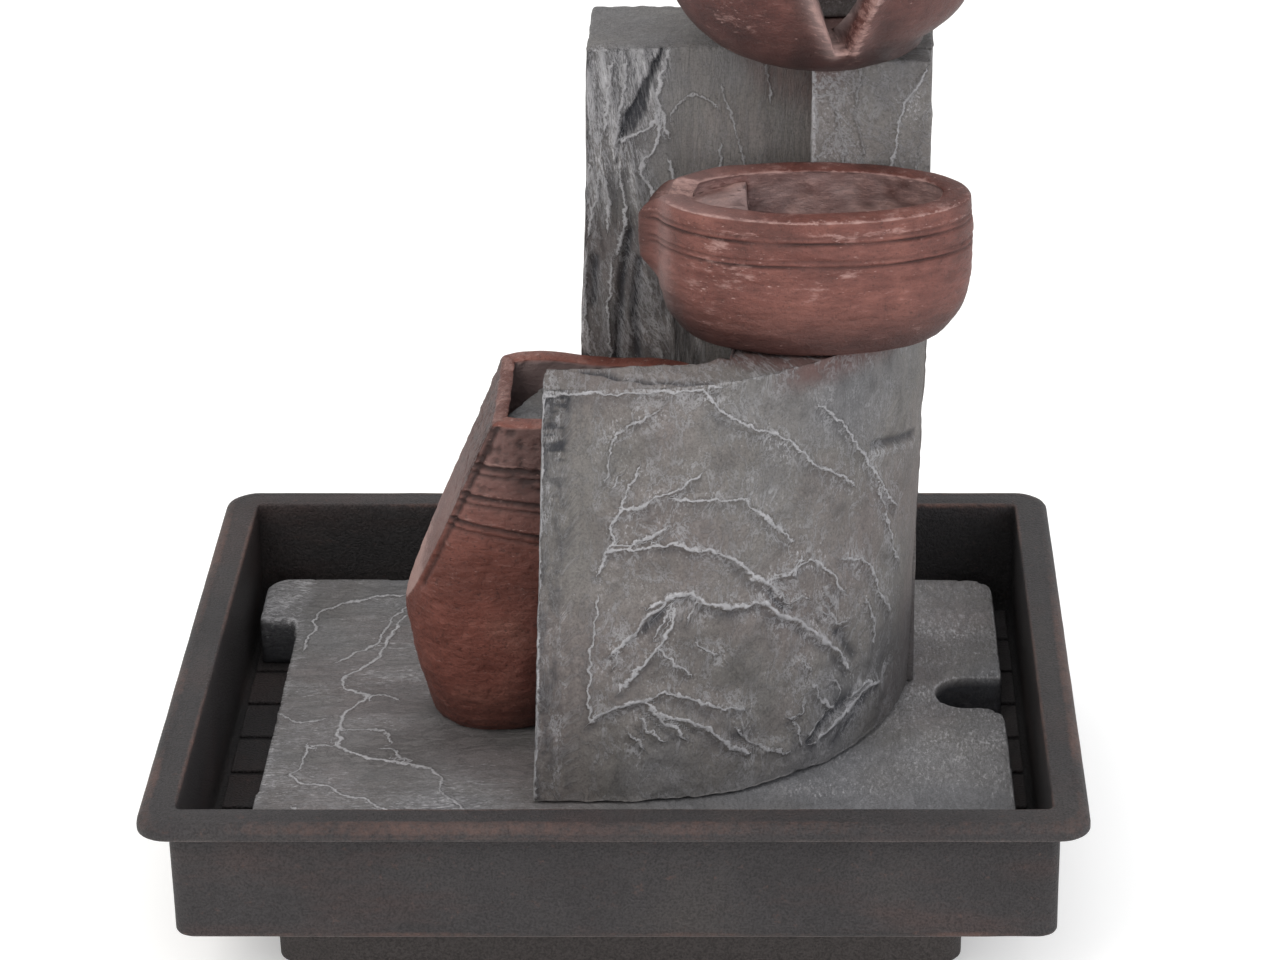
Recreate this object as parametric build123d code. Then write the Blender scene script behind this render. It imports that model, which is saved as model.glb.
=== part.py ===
from build123d import *
import math
import os

# A tabletop indoor fountain: a moulded tray with a deeper foot, a cast slate-look rockery with three
# terracotta pots, and a small submersible pump under the rockery that feeds the top bowl.
# Millimetres. The origin is on the floor under the middle of the tray: front is -Y, right is +X, up is +Z.

# Allowances
overrun = 2.0
seat_clearance = 0.2
running_clearance = 0.05

# Rubber feet under the tray
pad_radius = 8.0
pad_height = 2.0
pad_inset = 18.0

# Tray
tray_width = 300.0
tray_depth = 240.0
tray_height = 73.0
rim_corner = 10.0
rim_overhang = 9.0
rim_thickness = 2.6
rim_rounding = 3.6
lip_height = 5.5
tray_wall = 3.0
body_height = 47.0
body_corner = 5.0
body_lower_rounding = 2.5
foot_inset_x = 29.0
foot_depth = 178.0
foot_corner = 8.0
foot_draft = 2.0
floor_pad_height = 1.0
floor_pad_pitch = 23.0
floor_pad_length_share = 0.9
floor_pad_width_share = 0.82

# Base slab
slab_thickness = 6.0
slab_height = 19.0
slab_wall = 5.0
slab_gap_left = 17.0
slab_gap_right = 8.0
slab_gap_front = 10.0
slab_gap_back = 11.0
slab_corner = 9.0
slab_front_corner = 4.0
ear_reach = 13.0
ear_depth = 32.4
notch_width = 19.5
notch_depth = 23.5
notch_y = 12.2
notch_flare = 6.0
hose_window_width = 66.0
hose_window_depth = 30.0

# Distance from the slab's right edge to the rockery's own origin, which the sizes below are measured from
rockery_setback = 130.0

# Rear column
column_height = 231.0
column_front = 20.0
column_depth_base = 42.0
column_depth_top = 40.0
column_left_base = -19.0
column_left_top = -10.5
column_right_base = 98.6
column_right_top = 102.0
column_wall = 5.0
column_cap = 8.0
column_edge = 1.5

# Front block
block_height = 150.0
block_left_base = -29.4
block_left_top = -22.2
block_front = -66.4
block_slab = 18.0
block_arc_centre_y = 33.0
block_radius_base = 98.6
block_radius_top = 103.6
block_web_x = 36.0
block_web = 6.0
block_wall = 9.0
block_cap = 12.0

# Side block, standing on the front block against the column
side_left = 61.8
side_right = 101.2
side_depth = 13.0
side_edge = 1.5

# Middle bowl
bowl_centre_x = 63.0
bowl_half_width = 50.6
bowl_half_depth = 27.5
bowl_height = 48.0
bowl_wall = 9.0
bowl_floor = 11.0
# Height and half width of each section, each as a share
bowl_section_shares = [
    (0.0, 0.80),
    (0.06, 0.86),
    (0.14, 0.915),
    (0.31, 0.975),
    (0.60, 1.0),
    (0.86, 0.995),
    (1.0, 0.975),
]
spout_offset = 4.0
spout_reach = 5.0
spout_root_depth = 22.0
spout_drop = 4.0
spout_tip_width = 15.0
spout_root_width = 22.0
spout_tip_height = 24.0
spout_root_height = 32.0
spout_rounding = 4.0
spout_channel_width = 10.0
spout_channel_depth = 10.0
bowl_ledge_reach = 29.6

# Top bowl
top_centre_x = 64.5
top_centre_y = 18.5
top_radius = 51.5
top_height = 60.0
top_wall = 8.0
top_floor = 12.0
# Height and radius of each section, each as a share
top_section_shares = [
    (0.0, 0.45),
    (0.07, 0.63),
    (0.16, 0.76),
    (0.30, 0.88),
    (0.52, 0.97),
    (0.76, 1.0),
    (1.0, 0.975),
]
v_offset = 7.3
v_bottom_rise = 14.0
v_bottom_width = 4.5
v_top_width = 37.0
v_lip = 5.5
v_beak = 4.5

# Jar
jar_height = 123.0
jar_base_x = -43.0
jar_base_y = 4.0
jar_lean_x = 32.0
jar_lean_y = -12.0
jar_half_width = 44.0
jar_half_depth = 28.4
jar_corner_share = 0.94
jar_wall = 8.0
jar_flat_wall = 4.5
jar_floor = 13.0
# Height, lean along x, lean along y, width and depth, each as a share
jar_section_shares = [
    (0.0, 0.0, 0.0, 0.53, 0.76),
    (0.10, 0.02, 0.25, 0.60, 0.86),
    (0.21, 0.06, 0.45, 0.68, 0.93),
    (0.42, 0.18, 0.66, 0.83, 1.0),
    (0.66, 0.47, 0.85, 0.96, 1.0),
    (1.0, 1.0, 1.0, 1.0, 0.98),
]
jar_cut_low_x = -71.5
jar_cut_low_rise = 51.0
jar_cut_high_x = -39.6
ledge_thickness = 10.0
ledge_depth_below_rim = 7.0
ledge_line_left_x = -35.0
ledge_line_angle = 66.0
ledge_hole_radius = 2.5
ledge_hole_x = -27.0
ledge_hole_y = -17.0

# Outlet rock and water pipe
rock_front_y = 13.0
rock_height = 34.0
pipe_radius = 3.5
pipe_bore = 2.4
elbow_radius = 9.0
elbow_stem = 11.0
hose_wall = 1.3
hose_overlap = 10.0
hose_swing = 5.0
hose_low_share = 0.25
hose_high_share = 0.72
bend_share = 0.45

# Pump
pump_x = 62.0
pump_front_y = 26.0
housing_width = 40.0
housing_depth = 34.0
housing_height = 30.0
housing_wall = 2.0
housing_rounding = 3.0
step_depth = 3.0
step_inset = 2.0
rotor_axis_rise = 17.4
chamber_radius = 9.4
chamber_depth = 9.0
cover_plate_thickness = 1.6
inlet_radius = 5.0
spoke_width = 1.6
well_radius = 6.6
sleeve_wall = 1.2
well_depth = 21.0
spigot_height = 14.0
spigot_collar_radius = 6.0
spigot_collar_height = 2.0
spigot_back = 6.0
magnet_radius = 5.6
magnet_length = 15.0
shaft_radius = 1.0
hub_radius = 4.0
blade_radius = 8.4
blade_height = 4.6
blade_thickness = 1.2
blade_count = 6
impeller_disc = 1.2
bush_radius = 2.6
bush_length = 2.2
core_depth = 13.0
core_leg = 4.6
core_gap = 0.6
core_height = 22.0
winding_height = 6.6
winding_width = 15.0
winding_wall = 1.6
gland_radius = 4.0
gland_length = 6.0
gland_bore = 2.6
gland_offset = 11.0
gland_rise = 9.0
strainer_depth = 14.0
strainer_wall = 1.6
slot_width = 1.6
slot_pitch = 4.0
slot_height = 14.0
slot_count = 3
dial_radius = 7.0
dial_thickness = 2.4
dial_pin_radius = 2.0
dial_head_radius = 3.4
dial_head = 1.4
dial_grip_width = 2.0
dial_grip_height = 2.6
cup_radius = 6.0
cup_height = 5.0
cup_stem_radius = 2.2
cup_wall = 1.1
cup_inset_x = 8.0
cup_inset_y = 7.0

# Heights that follow from the sizes above
body_bottom = tray_height - body_height
floor_top = body_bottom + tray_wall
well_floor = pad_height + tray_wall
slab_bottom = floor_top + floor_pad_height
slab_top = slab_bottom + slab_height
block_top = slab_top + block_height
column_top = slab_top + column_height
bowl_bottom = block_top
bowl_rim = bowl_bottom + bowl_height
top_bottom = column_top
top_rim = top_bottom + top_height
jar_rim = slab_top + jar_height

# Widths that follow
body_width = tray_width - 2 * rim_overhang
body_depth = tray_depth - 2 * rim_overhang
inner_width = body_width - 2 * tray_wall
inner_depth = body_depth - 2 * tray_wall
foot_width = body_width - 2 * foot_inset_x
foot_height = body_bottom - pad_height
slab_left = slab_gap_left - inner_width / 2
slab_right = inner_width / 2 - slab_gap_right
slab_front = slab_gap_front - inner_depth / 2
slab_back = inner_depth / 2 - slab_gap_back

# Places that follow
rockery_x = slab_right - rockery_setback
bowl_centre_y = column_front - side_depth - bowl_half_depth - seat_clearance
column_middle_y = column_front + column_depth_top / 2
pump_bottom = well_floor + cup_height
pump_top = pump_bottom + housing_height
pump_back_y = pump_front_y + housing_depth
rotor_z = pump_bottom + rotor_axis_rise
chamber_front_y = pump_front_y - step_depth
well_front_y = chamber_front_y + cover_plate_thickness + chamber_depth
outlet_y = chamber_front_y + cover_plate_thickness + spigot_back
strainer_front_y = pump_front_y - strainer_depth
hose_bore = pipe_radius + running_clearance
hose_radius = hose_bore + hose_wall
hose_bottom = pump_top + spigot_height - hose_overlap
elbow_bottom = top_bottom + top_floor
elbow_axis_z = elbow_bottom + elbow_stem + elbow_radius
hose_top = elbow_bottom + hose_overlap


def block(x0, x1, y0, y1, z0, z1):
    """A box between two corners."""
    centre = ((x0 + x1) / 2, (y0 + y1) / 2, (z0 + z1) / 2)
    return Pos(*centre) * Box(x1 - x0, y1 - y0, z1 - z0)


def rounded_block(width, depth, corner, z0, z1):
    """A box about the tray's middle with rounded upright corners."""
    return Pos(0, 0, z0) * extrude(RectangleRounded(width, depth, corner), z1 - z0)


def upright(x, y, z0, z1, radius):
    """An upright cylinder between two heights."""
    return Pos(x, y, (z0 + z1) / 2) * Cylinder(radius, z1 - z0)


def lying(x, z, y0, y1, radius):
    """A cylinder along Y between two depths."""
    return Pos(x, (y0 + y1) / 2, z) * Rot(90, 0, 0) * Cylinder(radius, y1 - y0)


def lofted(sections):
    """A smooth solid through ellipses given as height, centre x and y, half width and half depth."""
    faces = [Pos(x, y, z) * make_face(Ellipse(a, b).edge()) for z, x, y, a, b in sections]
    return loft(faces)


def prism_between(outline_low, z_low, outline_high, z_high):
    """A solid with flat or ruled sides between two outlines."""
    low = Pos(0, 0, z_low) * make_face(outline_low)
    high = Pos(0, 0, z_high) * make_face(outline_high)
    return loft([low, high], ruled=True)


def rectangle_outline(x0, x1, y0, y1):
    """The outline of a rectangle between two corners."""
    return Polyline((x0, y0), (x1, y0), (x1, y1), (x0, y1), close=True)


def upright_edges(solid, lower, upper):
    """The solid's steep edges that cross the middle height between two heights."""
    middle = (lower + upper) / 2
    crossing = [e for e in solid.edges() if e.bounding_box().min.Z < middle < e.bounding_box().max.Z]
    return ShapeList(crossing)


def basin():
    """The tray: a flanged open box whose floor drops into a deeper foot that holds the pump."""
    shell = rounded_block(body_width, body_depth, body_corner, body_bottom, tray_height)
    shell = fillet(shell.faces().sort_by(Axis.Z)[0].edges(), body_lower_rounding)
    foot_face = Pos(0, 0, body_bottom + tray_wall) * RectangleRounded(foot_width, foot_depth, foot_corner)
    shell += extrude(foot_face, foot_height + tray_wall, dir=(0, 0, -1), taper=foot_draft)
    rim = rounded_block(tray_width, tray_depth, rim_corner, tray_height - lip_height, tray_height)
    rim = fillet(rim.faces().sort_by(Axis.Z)[-1].edges(), rim_rounding)
    gutter_width = tray_width - 2 * rim_thickness
    gutter_depth = tray_depth - 2 * rim_thickness
    gutter_corner = rim_corner - rim_thickness
    gutter_top = tray_height - rim_thickness
    gutter = rounded_block(
        gutter_width, gutter_depth, gutter_corner, tray_height - lip_height - overrun, gutter_top
    )
    shell += rim - gutter
    inner_corner = body_corner - tray_wall
    shell -= rounded_block(inner_width, inner_depth, inner_corner, floor_top, tray_height + overrun)
    well_width = foot_width - 2 * tray_wall
    well_depth_y = foot_depth - 2 * tray_wall
    well_face = Pos(0, 0, floor_top) * RectangleRounded(well_width, well_depth_y, foot_corner - tray_wall)
    shell -= extrude(well_face, floor_top - well_floor, dir=(0, 0, -1), taper=foot_draft)
    for pad in floor_pads(well_width, well_depth_y):
        shell += pad
    return shell


def floor_pads(well_width, well_depth_y):
    """Shallow raised pads in rows on the ledge between the foot's well and the walls."""
    pads = []
    ledge_x = (inner_width - well_width) / 2
    ledge_y = (inner_depth - well_depth_y) / 2
    z0 = floor_top - floor_pad_height
    z1 = floor_top + floor_pad_height
    rows = round(inner_depth / floor_pad_pitch)
    pitch_y = inner_depth / rows
    for side in (-1, 1):
        centre_x = side * (inner_width / 2 - ledge_x / 2)
        for row in range(rows):
            centre_y = -inner_depth / 2 + pitch_y * (row + 1 / 2)
            size = (ledge_x * floor_pad_width_share, pitch_y * floor_pad_length_share, z1 - z0)
            pads.append(Pos(centre_x, centre_y, (z0 + z1) / 2) * Box(*size))
    columns = round(well_width / floor_pad_pitch)
    pitch_x = well_width / columns
    for side in (-1, 1):
        centre_y = side * (inner_depth / 2 - ledge_y / 2)
        for column in range(columns):
            centre_x = -well_width / 2 + pitch_x * (column + 1 / 2)
            size = (pitch_x * floor_pad_length_share, ledge_y * floor_pad_width_share, z1 - z0)
            pads.append(Pos(centre_x, centre_y, (z0 + z1) / 2) * Box(*size))
    return pads


def basin_feet():
    """Four rubber pads stuck under the foot's corners."""
    reach_x = foot_width / 2 - pad_inset
    reach_y = foot_depth / 2 - pad_inset
    places = [(sx * reach_x, sy * reach_y) for sx in (-1, 1) for sy in (-1, 1)]
    return Compound([upright(x, y, 0, pad_height, pad_radius) for x, y in places])


def notch_cutter(margin, z0, z1):
    """The U-shaped notch in the slab's right edge, grown by a margin, with a flared front corner."""
    half = notch_width / 2 + margin
    end_x = slab_right - notch_depth + notch_width / 2
    cutter = upright(end_x, notch_y, z0, z1, half)
    cutter += block(end_x, slab_right + overrun, notch_y - half, notch_y + half, z0, z1)
    flare = Polyline(
        (slab_right - notch_flare - margin, notch_y - half),
        (slab_right + overrun, notch_y - half - notch_flare - overrun),
        (slab_right + overrun, notch_y - half),
        close=True,
    )
    cutter += Pos(0, 0, z0) * extrude(make_face(flare), z1 - z0)
    return cutter


def base_slab():
    """The slate-look slab: a plate with a skirt that stands on the tray floor, hollow for the pump."""
    slab = block(slab_left, slab_right, slab_front, slab_back, slab_bottom, slab_top)
    corners = slab.edges().filter_by(Axis.Z).sort_by(Axis.Y)
    slab = fillet(corners[:2], slab_front_corner)
    right_back = slab.edges().filter_by(Axis.Z).sort_by(Axis.Y)[-2:].sort_by(Axis.X)[-1:]
    slab = fillet(right_back, slab_corner)
    ear_front = slab_back - ear_depth
    ear = block(slab_left - ear_reach, slab_left + slab_wall, ear_front, slab_back, slab_bottom, slab_top)
    ear_corner = ear.edges().filter_by(Axis.Z).group_by(Axis.X)[0].sort_by(Axis.Y)[-1:]
    slab += fillet(ear_corner, slab_corner)
    slab -= notch_cutter(0, slab_bottom - overrun, slab_top + overrun)
    hollow = block(
        slab_left + slab_wall,
        slab_right - slab_wall,
        slab_front + slab_wall,
        slab_back - slab_wall,
        slab_bottom - overrun,
        slab_top - slab_thickness,
    )
    hollow -= notch_cutter(slab_wall, slab_bottom - overrun, slab_top)
    slab -= hollow
    slab -= block(
        rockery_x + pump_x - hose_window_width / 2,
        rockery_x + pump_x + hose_window_width / 2,
        column_middle_y - hose_window_depth / 2,
        column_middle_y + hose_window_depth / 2,
        slab_bottom,
        slab_top + overrun,
    )
    return slab


def column_outline(left, right, depth, inset):
    """The column's section at one height, drawn in by an inset."""
    back = column_front + depth
    return rectangle_outline(left + inset, right - inset, column_front + inset, back - inset)


def rear_column():
    """The tall hollow column, open below, with a hole in its cap for the hose."""
    low = column_outline(column_left_base, column_right_base, column_depth_base, 0)
    high = column_outline(column_left_top, column_right_top, column_depth_top, 0)
    column = prism_between(low, slab_top, high, column_top)
    column = chamfer(upright_edges(column, slab_top, column_top), column_edge)
    cavity_top = column_top - column_cap
    low = column_outline(column_left_base, column_right_base, column_depth_base, column_wall)
    high = column_outline(column_left_top, column_right_top, column_depth_top, column_wall)
    cavity = prism_between(low, slab_top, high, cavity_top)
    column -= cavity
    hole_radius = hose_radius + seat_clearance
    column -= upright(pump_x, outlet_y, cavity_top - overrun, column_top + overrun, hole_radius)
    return column


def block_outline(left, radius, arc_front):
    """The front block's outline: straight at the left, then a quarter of an ellipse to the column."""
    radius_y = block_arc_centre_y - arc_front
    end_angle = -math.degrees(math.asin((block_arc_centre_y - column_front) / radius_y))
    arc = EllipticalCenterArc((0, block_arc_centre_y), radius, radius_y, -90, arc_size=90 + end_angle)
    inner_at_web = arc_front + block_slab + radius_y * (1 - math.sqrt(1 - (block_web_x / radius) ** 2))
    straight = Polyline(
        arc @ 1,
        (block_web_x, column_front),
        (block_web_x, inner_at_web),
        (left, arc_front + block_slab),
        (left, arc_front),
        arc @ 0,
    )
    return Curve() + [arc, straight]


def block_cavity():
    """The hollow under the front block's shelf."""
    radius_x = block_radius_base - block_wall
    radius_y = block_arc_centre_y - block_front - block_wall
    back = column_front - block_wall
    left = block_web_x + block_web
    start_angle = -math.degrees(math.acos(left / radius_x))
    end_angle = -math.degrees(math.asin((block_arc_centre_y - back) / radius_y))
    turn = end_angle - start_angle
    arc = EllipticalCenterArc((0, block_arc_centre_y), radius_x, radius_y, start_angle, arc_size=turn)
    straight = Polyline(arc @ 1, (left, back), arc @ 0)
    face = Pos(0, 0, slab_top - overrun) * make_face(Curve() + [arc, straight])
    return extrude(face, block_height - block_cap + overrun)


def front_block():
    """The curved block: a slab at its left and a hollow shelf at its right that carries the middle bowl."""
    low = block_outline(block_left_base, block_radius_base, block_front)
    high = block_outline(block_left_top, block_radius_top, block_front)
    body = prism_between(low, slab_top, high, block_top)
    return body - block_cavity()


def side_block():
    """The pilaster on the shelf, against the column's front."""
    body = block(side_left, side_right, column_front - side_depth, column_front, block_top, column_top)
    front_edges = body.edges().filter_by(Axis.Z).group_by(Axis.Y)[0]
    return chamfer(front_edges, side_edge)


def bowl_sections(bottom, height, x, y, half_width, half_depth, shares, inset, floor):
    """Sections of a bowl, drawn in by an inset, from its floor up to past its rim."""
    sections = []
    low = bottom + floor
    for share_z, share_r in shares:
        z = low + share_z * (height - floor)
        sections.append((z, x, y, half_width * share_r - inset, half_depth * share_r - inset))
    if inset > 0:
        z, x, y, a, b = sections[-1]
        sections.append((z + overrun, x, y, a, b))
    return sections


def middle_bowl_outer():
    """The middle bowl's full outer shape."""
    return lofted(
        bowl_sections(
            bowl_bottom, bowl_height, bowl_centre_x, bowl_centre_y, bowl_half_width, bowl_half_depth,
            bowl_section_shares, 0, 0,
        )
    )


def middle_bowl_hollow():
    """The space inside the middle bowl, over a high ledge at its left."""
    hollow = lofted(
        bowl_sections(
            bowl_bottom, bowl_height, bowl_centre_x, bowl_centre_y, bowl_half_width, bowl_half_depth,
            bowl_section_shares, bowl_wall, bowl_floor,
        )
    )
    left = bowl_centre_x - bowl_half_width
    ledge = block(
        left,
        left + bowl_ledge_reach,
        bowl_centre_y - bowl_half_depth,
        bowl_centre_y + bowl_half_depth,
        bowl_bottom,
        bowl_rim - spout_channel_depth,
    )
    return hollow - ledge


def spout_section(x, width, height):
    """One section of the spout, a little below the bowl's rim."""
    centre_z = bowl_rim - spout_drop - height / 2
    plane = Plane(origin=(x, bowl_centre_y + spout_offset, centre_z), x_dir=(0, 1, 0), z_dir=(1, 0, 0))
    return plane * RectangleRounded(width, height, spout_rounding)


def middle_bowl():
    """The terracotta bowl whose spout pours to the left, into the jar."""
    left = bowl_centre_x - bowl_half_width
    root = spout_section(left + spout_root_depth, spout_root_width, spout_root_height)
    tip = spout_section(left - spout_reach, spout_tip_width, spout_tip_height)
    bowl = middle_bowl_outer() + loft([tip, root], ruled=True)
    bowl -= middle_bowl_hollow()
    middle_y = bowl_centre_y + spout_offset
    bowl -= block(
        left - spout_reach - overrun,
        left + spout_root_depth,
        middle_y - spout_channel_width / 2,
        middle_y + spout_channel_width / 2,
        bowl_rim - spout_channel_depth,
        bowl_rim + overrun,
    )
    return bowl


def top_bowl_outer(grow):
    """The top bowl's full outer shape, grown by a margin."""
    return lofted(
        bowl_sections(
            top_bottom, top_height, top_centre_x, top_centre_y, top_radius + grow, top_radius + grow,
            top_section_shares, 0, 0,
        )
    )


def top_bowl_hollow():
    """The space inside the top bowl."""
    return lofted(
        bowl_sections(
            top_bottom, top_height, top_centre_x, top_centre_y, top_radius, top_radius,
            top_section_shares, top_wall, top_floor,
        )
    )


def v_wedge(margin, low):
    """The V of the pouring lip as a wedge that runs in from the front, grown by a margin."""
    rise = top_rim - low
    slope = (v_top_width - v_bottom_width) / 2 / (top_height - v_bottom_rise)
    half_low = v_bottom_width / 2 + margin
    half_high = half_low + slope * (rise + overrun)
    plane = Plane(origin=(top_centre_x + v_offset, top_centre_y, low), x_dir=(1, 0, 0), z_dir=(0, -1, 0))
    outline = Polyline(
        (-half_low, 0),
        (half_low, 0),
        (half_high, rise + overrun),
        (-half_high, rise + overrun),
        close=True,
    )
    return extrude(plane * make_face(outline), top_radius + v_beak + overrun)


def top_bowl():
    """The terracotta bowl on the column, cut by a V with raised lips that pours to the front."""
    v_bottom = top_bottom + v_bottom_rise
    lips = top_bowl_outer(v_beak) & v_wedge(v_lip, v_bottom - v_lip)
    bowl = top_bowl_outer(0) + lips
    bowl -= top_bowl_hollow()
    bowl -= v_wedge(0, v_bottom)
    bowl -= upright(pump_x, outlet_y, top_bottom - overrun, top_rim, hose_radius + seat_clearance)
    return bowl


def jar_shape(inset, flat_inset, floor):
    """The leaning jar's shape, drawn in by an inset, from its floor up to its rim or past it."""
    faces = []
    for share_z, share_x, share_y, share_w, share_d in jar_section_shares:
        z = slab_top + floor + share_z * (jar_height - floor)
        if inset > 0 and share_z == 1:
            z += overrun
        x = jar_base_x + share_x * jar_lean_x
        y = jar_base_y + share_y * jar_lean_y
        half_depth = share_d * jar_half_depth
        width = 2 * (share_w * jar_half_width - inset)
        corner = jar_corner_share * half_depth - inset
        faces.append(Pos(x, y, z) * RectangleRounded(width, 2 * (half_depth - inset), corner))
    return loft(faces) - jar_side_cutter(flat_inset)


def jar_side_cutter(inset):
    """Everything to the left of the flat that slices the jar's left side, moved in by an inset."""
    z_low = slab_top + jar_cut_low_rise
    lean = (jar_cut_high_x - jar_cut_low_x) / (jar_rim - z_low)
    reach = tray_depth
    rise = jar_height
    x_low = jar_cut_low_x + inset
    plane = Plane(origin=(0, reach / 2, 0), x_dir=(1, 0, 0), z_dir=(0, -1, 0))
    outline = Polyline(
        (x_low - lean * rise, z_low - rise),
        (x_low + lean * rise, z_low + rise),
        (x_low - reach, z_low + rise),
        (x_low - reach, z_low - rise),
        close=True,
    )
    return extrude(plane * make_face(outline), reach)


def jar_hollow():
    """The space inside the jar."""
    return jar_shape(jar_wall, jar_flat_wall, jar_floor)


def jar():
    """The leaning terracotta jar, trimmed where it leans on the column."""
    return jar_shape(0, 0, 0) - jar_hollow() - column_front_space()


def column_front_space():
    """All space behind the plane of the column's front."""
    reach = tray_width
    return block(-reach, reach, column_front, reach, slab_bottom, column_top)


def jar_ledge():
    """The stone ledge that fills the right part of the jar's mouth, with a small drain hole."""
    inside = jar_hollow()
    z1 = jar_rim - ledge_depth_below_rim
    z0 = z1 - ledge_thickness
    reach = tray_width
    half_space = block(0, reach, -reach, reach, z0, z1)
    place = Pos(ledge_line_left_x, jar_base_y + jar_lean_y, 0) * Rot(0, 0, ledge_line_angle - 90)
    ledge = inside & (place * half_space)
    ledge -= upright(ledge_hole_x, ledge_hole_y, z0 - overrun, z1 + overrun, ledge_hole_radius)
    return ledge


def pipe_path():
    """The elbow's centre line: up out of the bowl's floor and forward to the rock's face."""
    return FilletPolyline(
        (pump_x, outlet_y, elbow_bottom),
        (pump_x, outlet_y, elbow_axis_z),
        (pump_x, rock_front_y, elbow_axis_z),
        radius=elbow_radius,
    )


def swept_tube(path, radius):
    """A round bar of one radius along a path."""
    start = Plane(origin=path @ 0, z_dir=path % 0)
    return sweep(start * Circle(radius), path)


def outlet_elbow():
    """The pipe bend that turns the water forward."""
    path = pipe_path()
    return swept_tube(path, pipe_radius) - swept_tube(path, pipe_bore)


def outlet_rock():
    """The stone insert behind the V, shaped to the bowl, with the elbow and the hose end inside it."""
    z0 = top_bottom + top_floor
    z1 = z0 + rock_height
    reach = tray_width
    room = block(-reach, reach, rock_front_y, reach, z0, z1)
    rock = top_bowl_hollow() & room
    rock -= swept_tube(pipe_path(), pipe_radius)
    rock -= upright(pump_x, outlet_y, z0 - overrun, hose_top, hose_radius + seat_clearance)
    return rock


def hose_path():
    """The hose's route inside the column: straight at both ends with a gentle swing between them."""
    low_z = hose_bottom + hose_low_share * (hose_top - hose_bottom)
    high_z = hose_bottom + hose_high_share * (hose_top - hose_bottom)
    points = [
        Vector(pump_x, outlet_y, hose_bottom),
        Vector(pump_x, outlet_y, low_z),
        Vector(pump_x - hose_swing, outlet_y + hose_swing, (low_z + high_z) / 2),
        Vector(pump_x, outlet_y, high_z),
        Vector(pump_x, outlet_y, hose_top),
    ]
    radii = []
    for before, here, after in zip(points, points[1:], points[2:]):
        turn = (here - before).get_angle(after - here)
        shorter = min((here - before).length, (after - here).length)
        radii.append(bend_share * shorter / math.tan(math.radians(turn / 2)))
    print("hose radii", [round(r) for r in radii])
    return FilletPolyline(*points, radius=radii)


def supply_hose():
    """The silicone hose from the pump's spigot to the elbow."""
    path = hose_path()
    hose = swept_tube(path, hose_radius) - swept_tube(path, hose_bore)
    section = math.pi * (hose_radius**2 - hose_bore**2)
    print("hose volume over section times length", round(hose.volume / (section * path.length), 4))
    return hose


def housing_box(inset, y0, y1):
    """A box about the pump's axis, drawn in by an inset on four sides."""
    half = housing_width / 2 - inset
    return block(pump_x - half, pump_x + half, y0, y1, pump_bottom + inset, pump_top - inset)


def compartment():
    """The space behind the rotor's chamber that holds the stator in potting."""
    front = well_front_y + housing_wall
    return housing_box(housing_wall, front, pump_back_y)


def rotor_sleeve(radius, extra):
    """The closed tube that keeps the water off the stator, solid to the radius given."""
    return lying(pump_x, rotor_z, well_front_y, well_front_y + well_depth + extra, radius)


def pump_housing():
    """The pump's moulded box, with its front step, rotor chamber and rotor well."""
    shell = housing_box(0, pump_front_y, pump_back_y)
    shell = fillet(shell.edges().filter_by(Axis.Y), housing_rounding)
    shell += housing_box(step_inset, chamber_front_y, pump_front_y)
    shell -= compartment() - rotor_sleeve(well_radius + sleeve_wall, sleeve_wall)
    shell -= lying(pump_x, rotor_z, chamber_front_y - overrun, well_front_y, chamber_radius)
    shell -= rotor_sleeve(well_radius, 0)
    shell -= upright(pump_x, outlet_y, rotor_z, pump_top + overrun, pipe_radius)
    return shell


def outlet_spigot():
    """The push-in spigot on top of the pump that the hose slides onto."""
    low = rotor_z + chamber_radius
    spigot = upright(pump_x, outlet_y, low, pump_top + spigot_height, pipe_radius)
    spigot += upright(pump_x, outlet_y, pump_top, pump_top + spigot_collar_height, spigot_collar_radius)
    spigot -= upright(pump_x, outlet_y, low - overrun, pump_top + spigot_height + overrun, pipe_bore)
    return spigot


def chamber_cover():
    """The round plate that closes the rotor's chamber, with a spoked inlet and a seat for the bush."""
    y1 = chamber_front_y + cover_plate_thickness
    plate = lying(pump_x, rotor_z, chamber_front_y, y1, chamber_radius)
    plate -= lying(pump_x, rotor_z, chamber_front_y - overrun, y1 + overrun, inlet_radius)
    spoke = block(
        pump_x - spoke_width / 2,
        pump_x + spoke_width / 2,
        chamber_front_y,
        y1,
        rotor_z - inlet_radius - spoke_width,
        rotor_z + inlet_radius + spoke_width,
    )
    plate += spoke
    plate += lying(pump_x, rotor_z, chamber_front_y, y1, bush_radius + spoke_width / 2)
    plate -= lying(pump_x, rotor_z, chamber_front_y - overrun, y1 + overrun, bush_radius)
    return plate


def bush(y0):
    """A small bearing bush at one end of the shaft."""
    return lying(pump_x, rotor_z, y0, y0 + bush_length, bush_radius) - lying(
        pump_x, rotor_z, y0 - overrun, y0 + bush_length + overrun, shaft_radius
    )


def front_bush():
    """The bush in the chamber cover."""
    return bush(chamber_front_y)


def rear_bush():
    """The bush at the bottom of the rotor's well."""
    return bush(well_front_y + well_depth - bush_length)


def rotor_shaft():
    """The fixed ceramic shaft that the rotor turns on."""
    return lying(pump_x, rotor_z, chamber_front_y, well_front_y + well_depth, shaft_radius)


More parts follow.
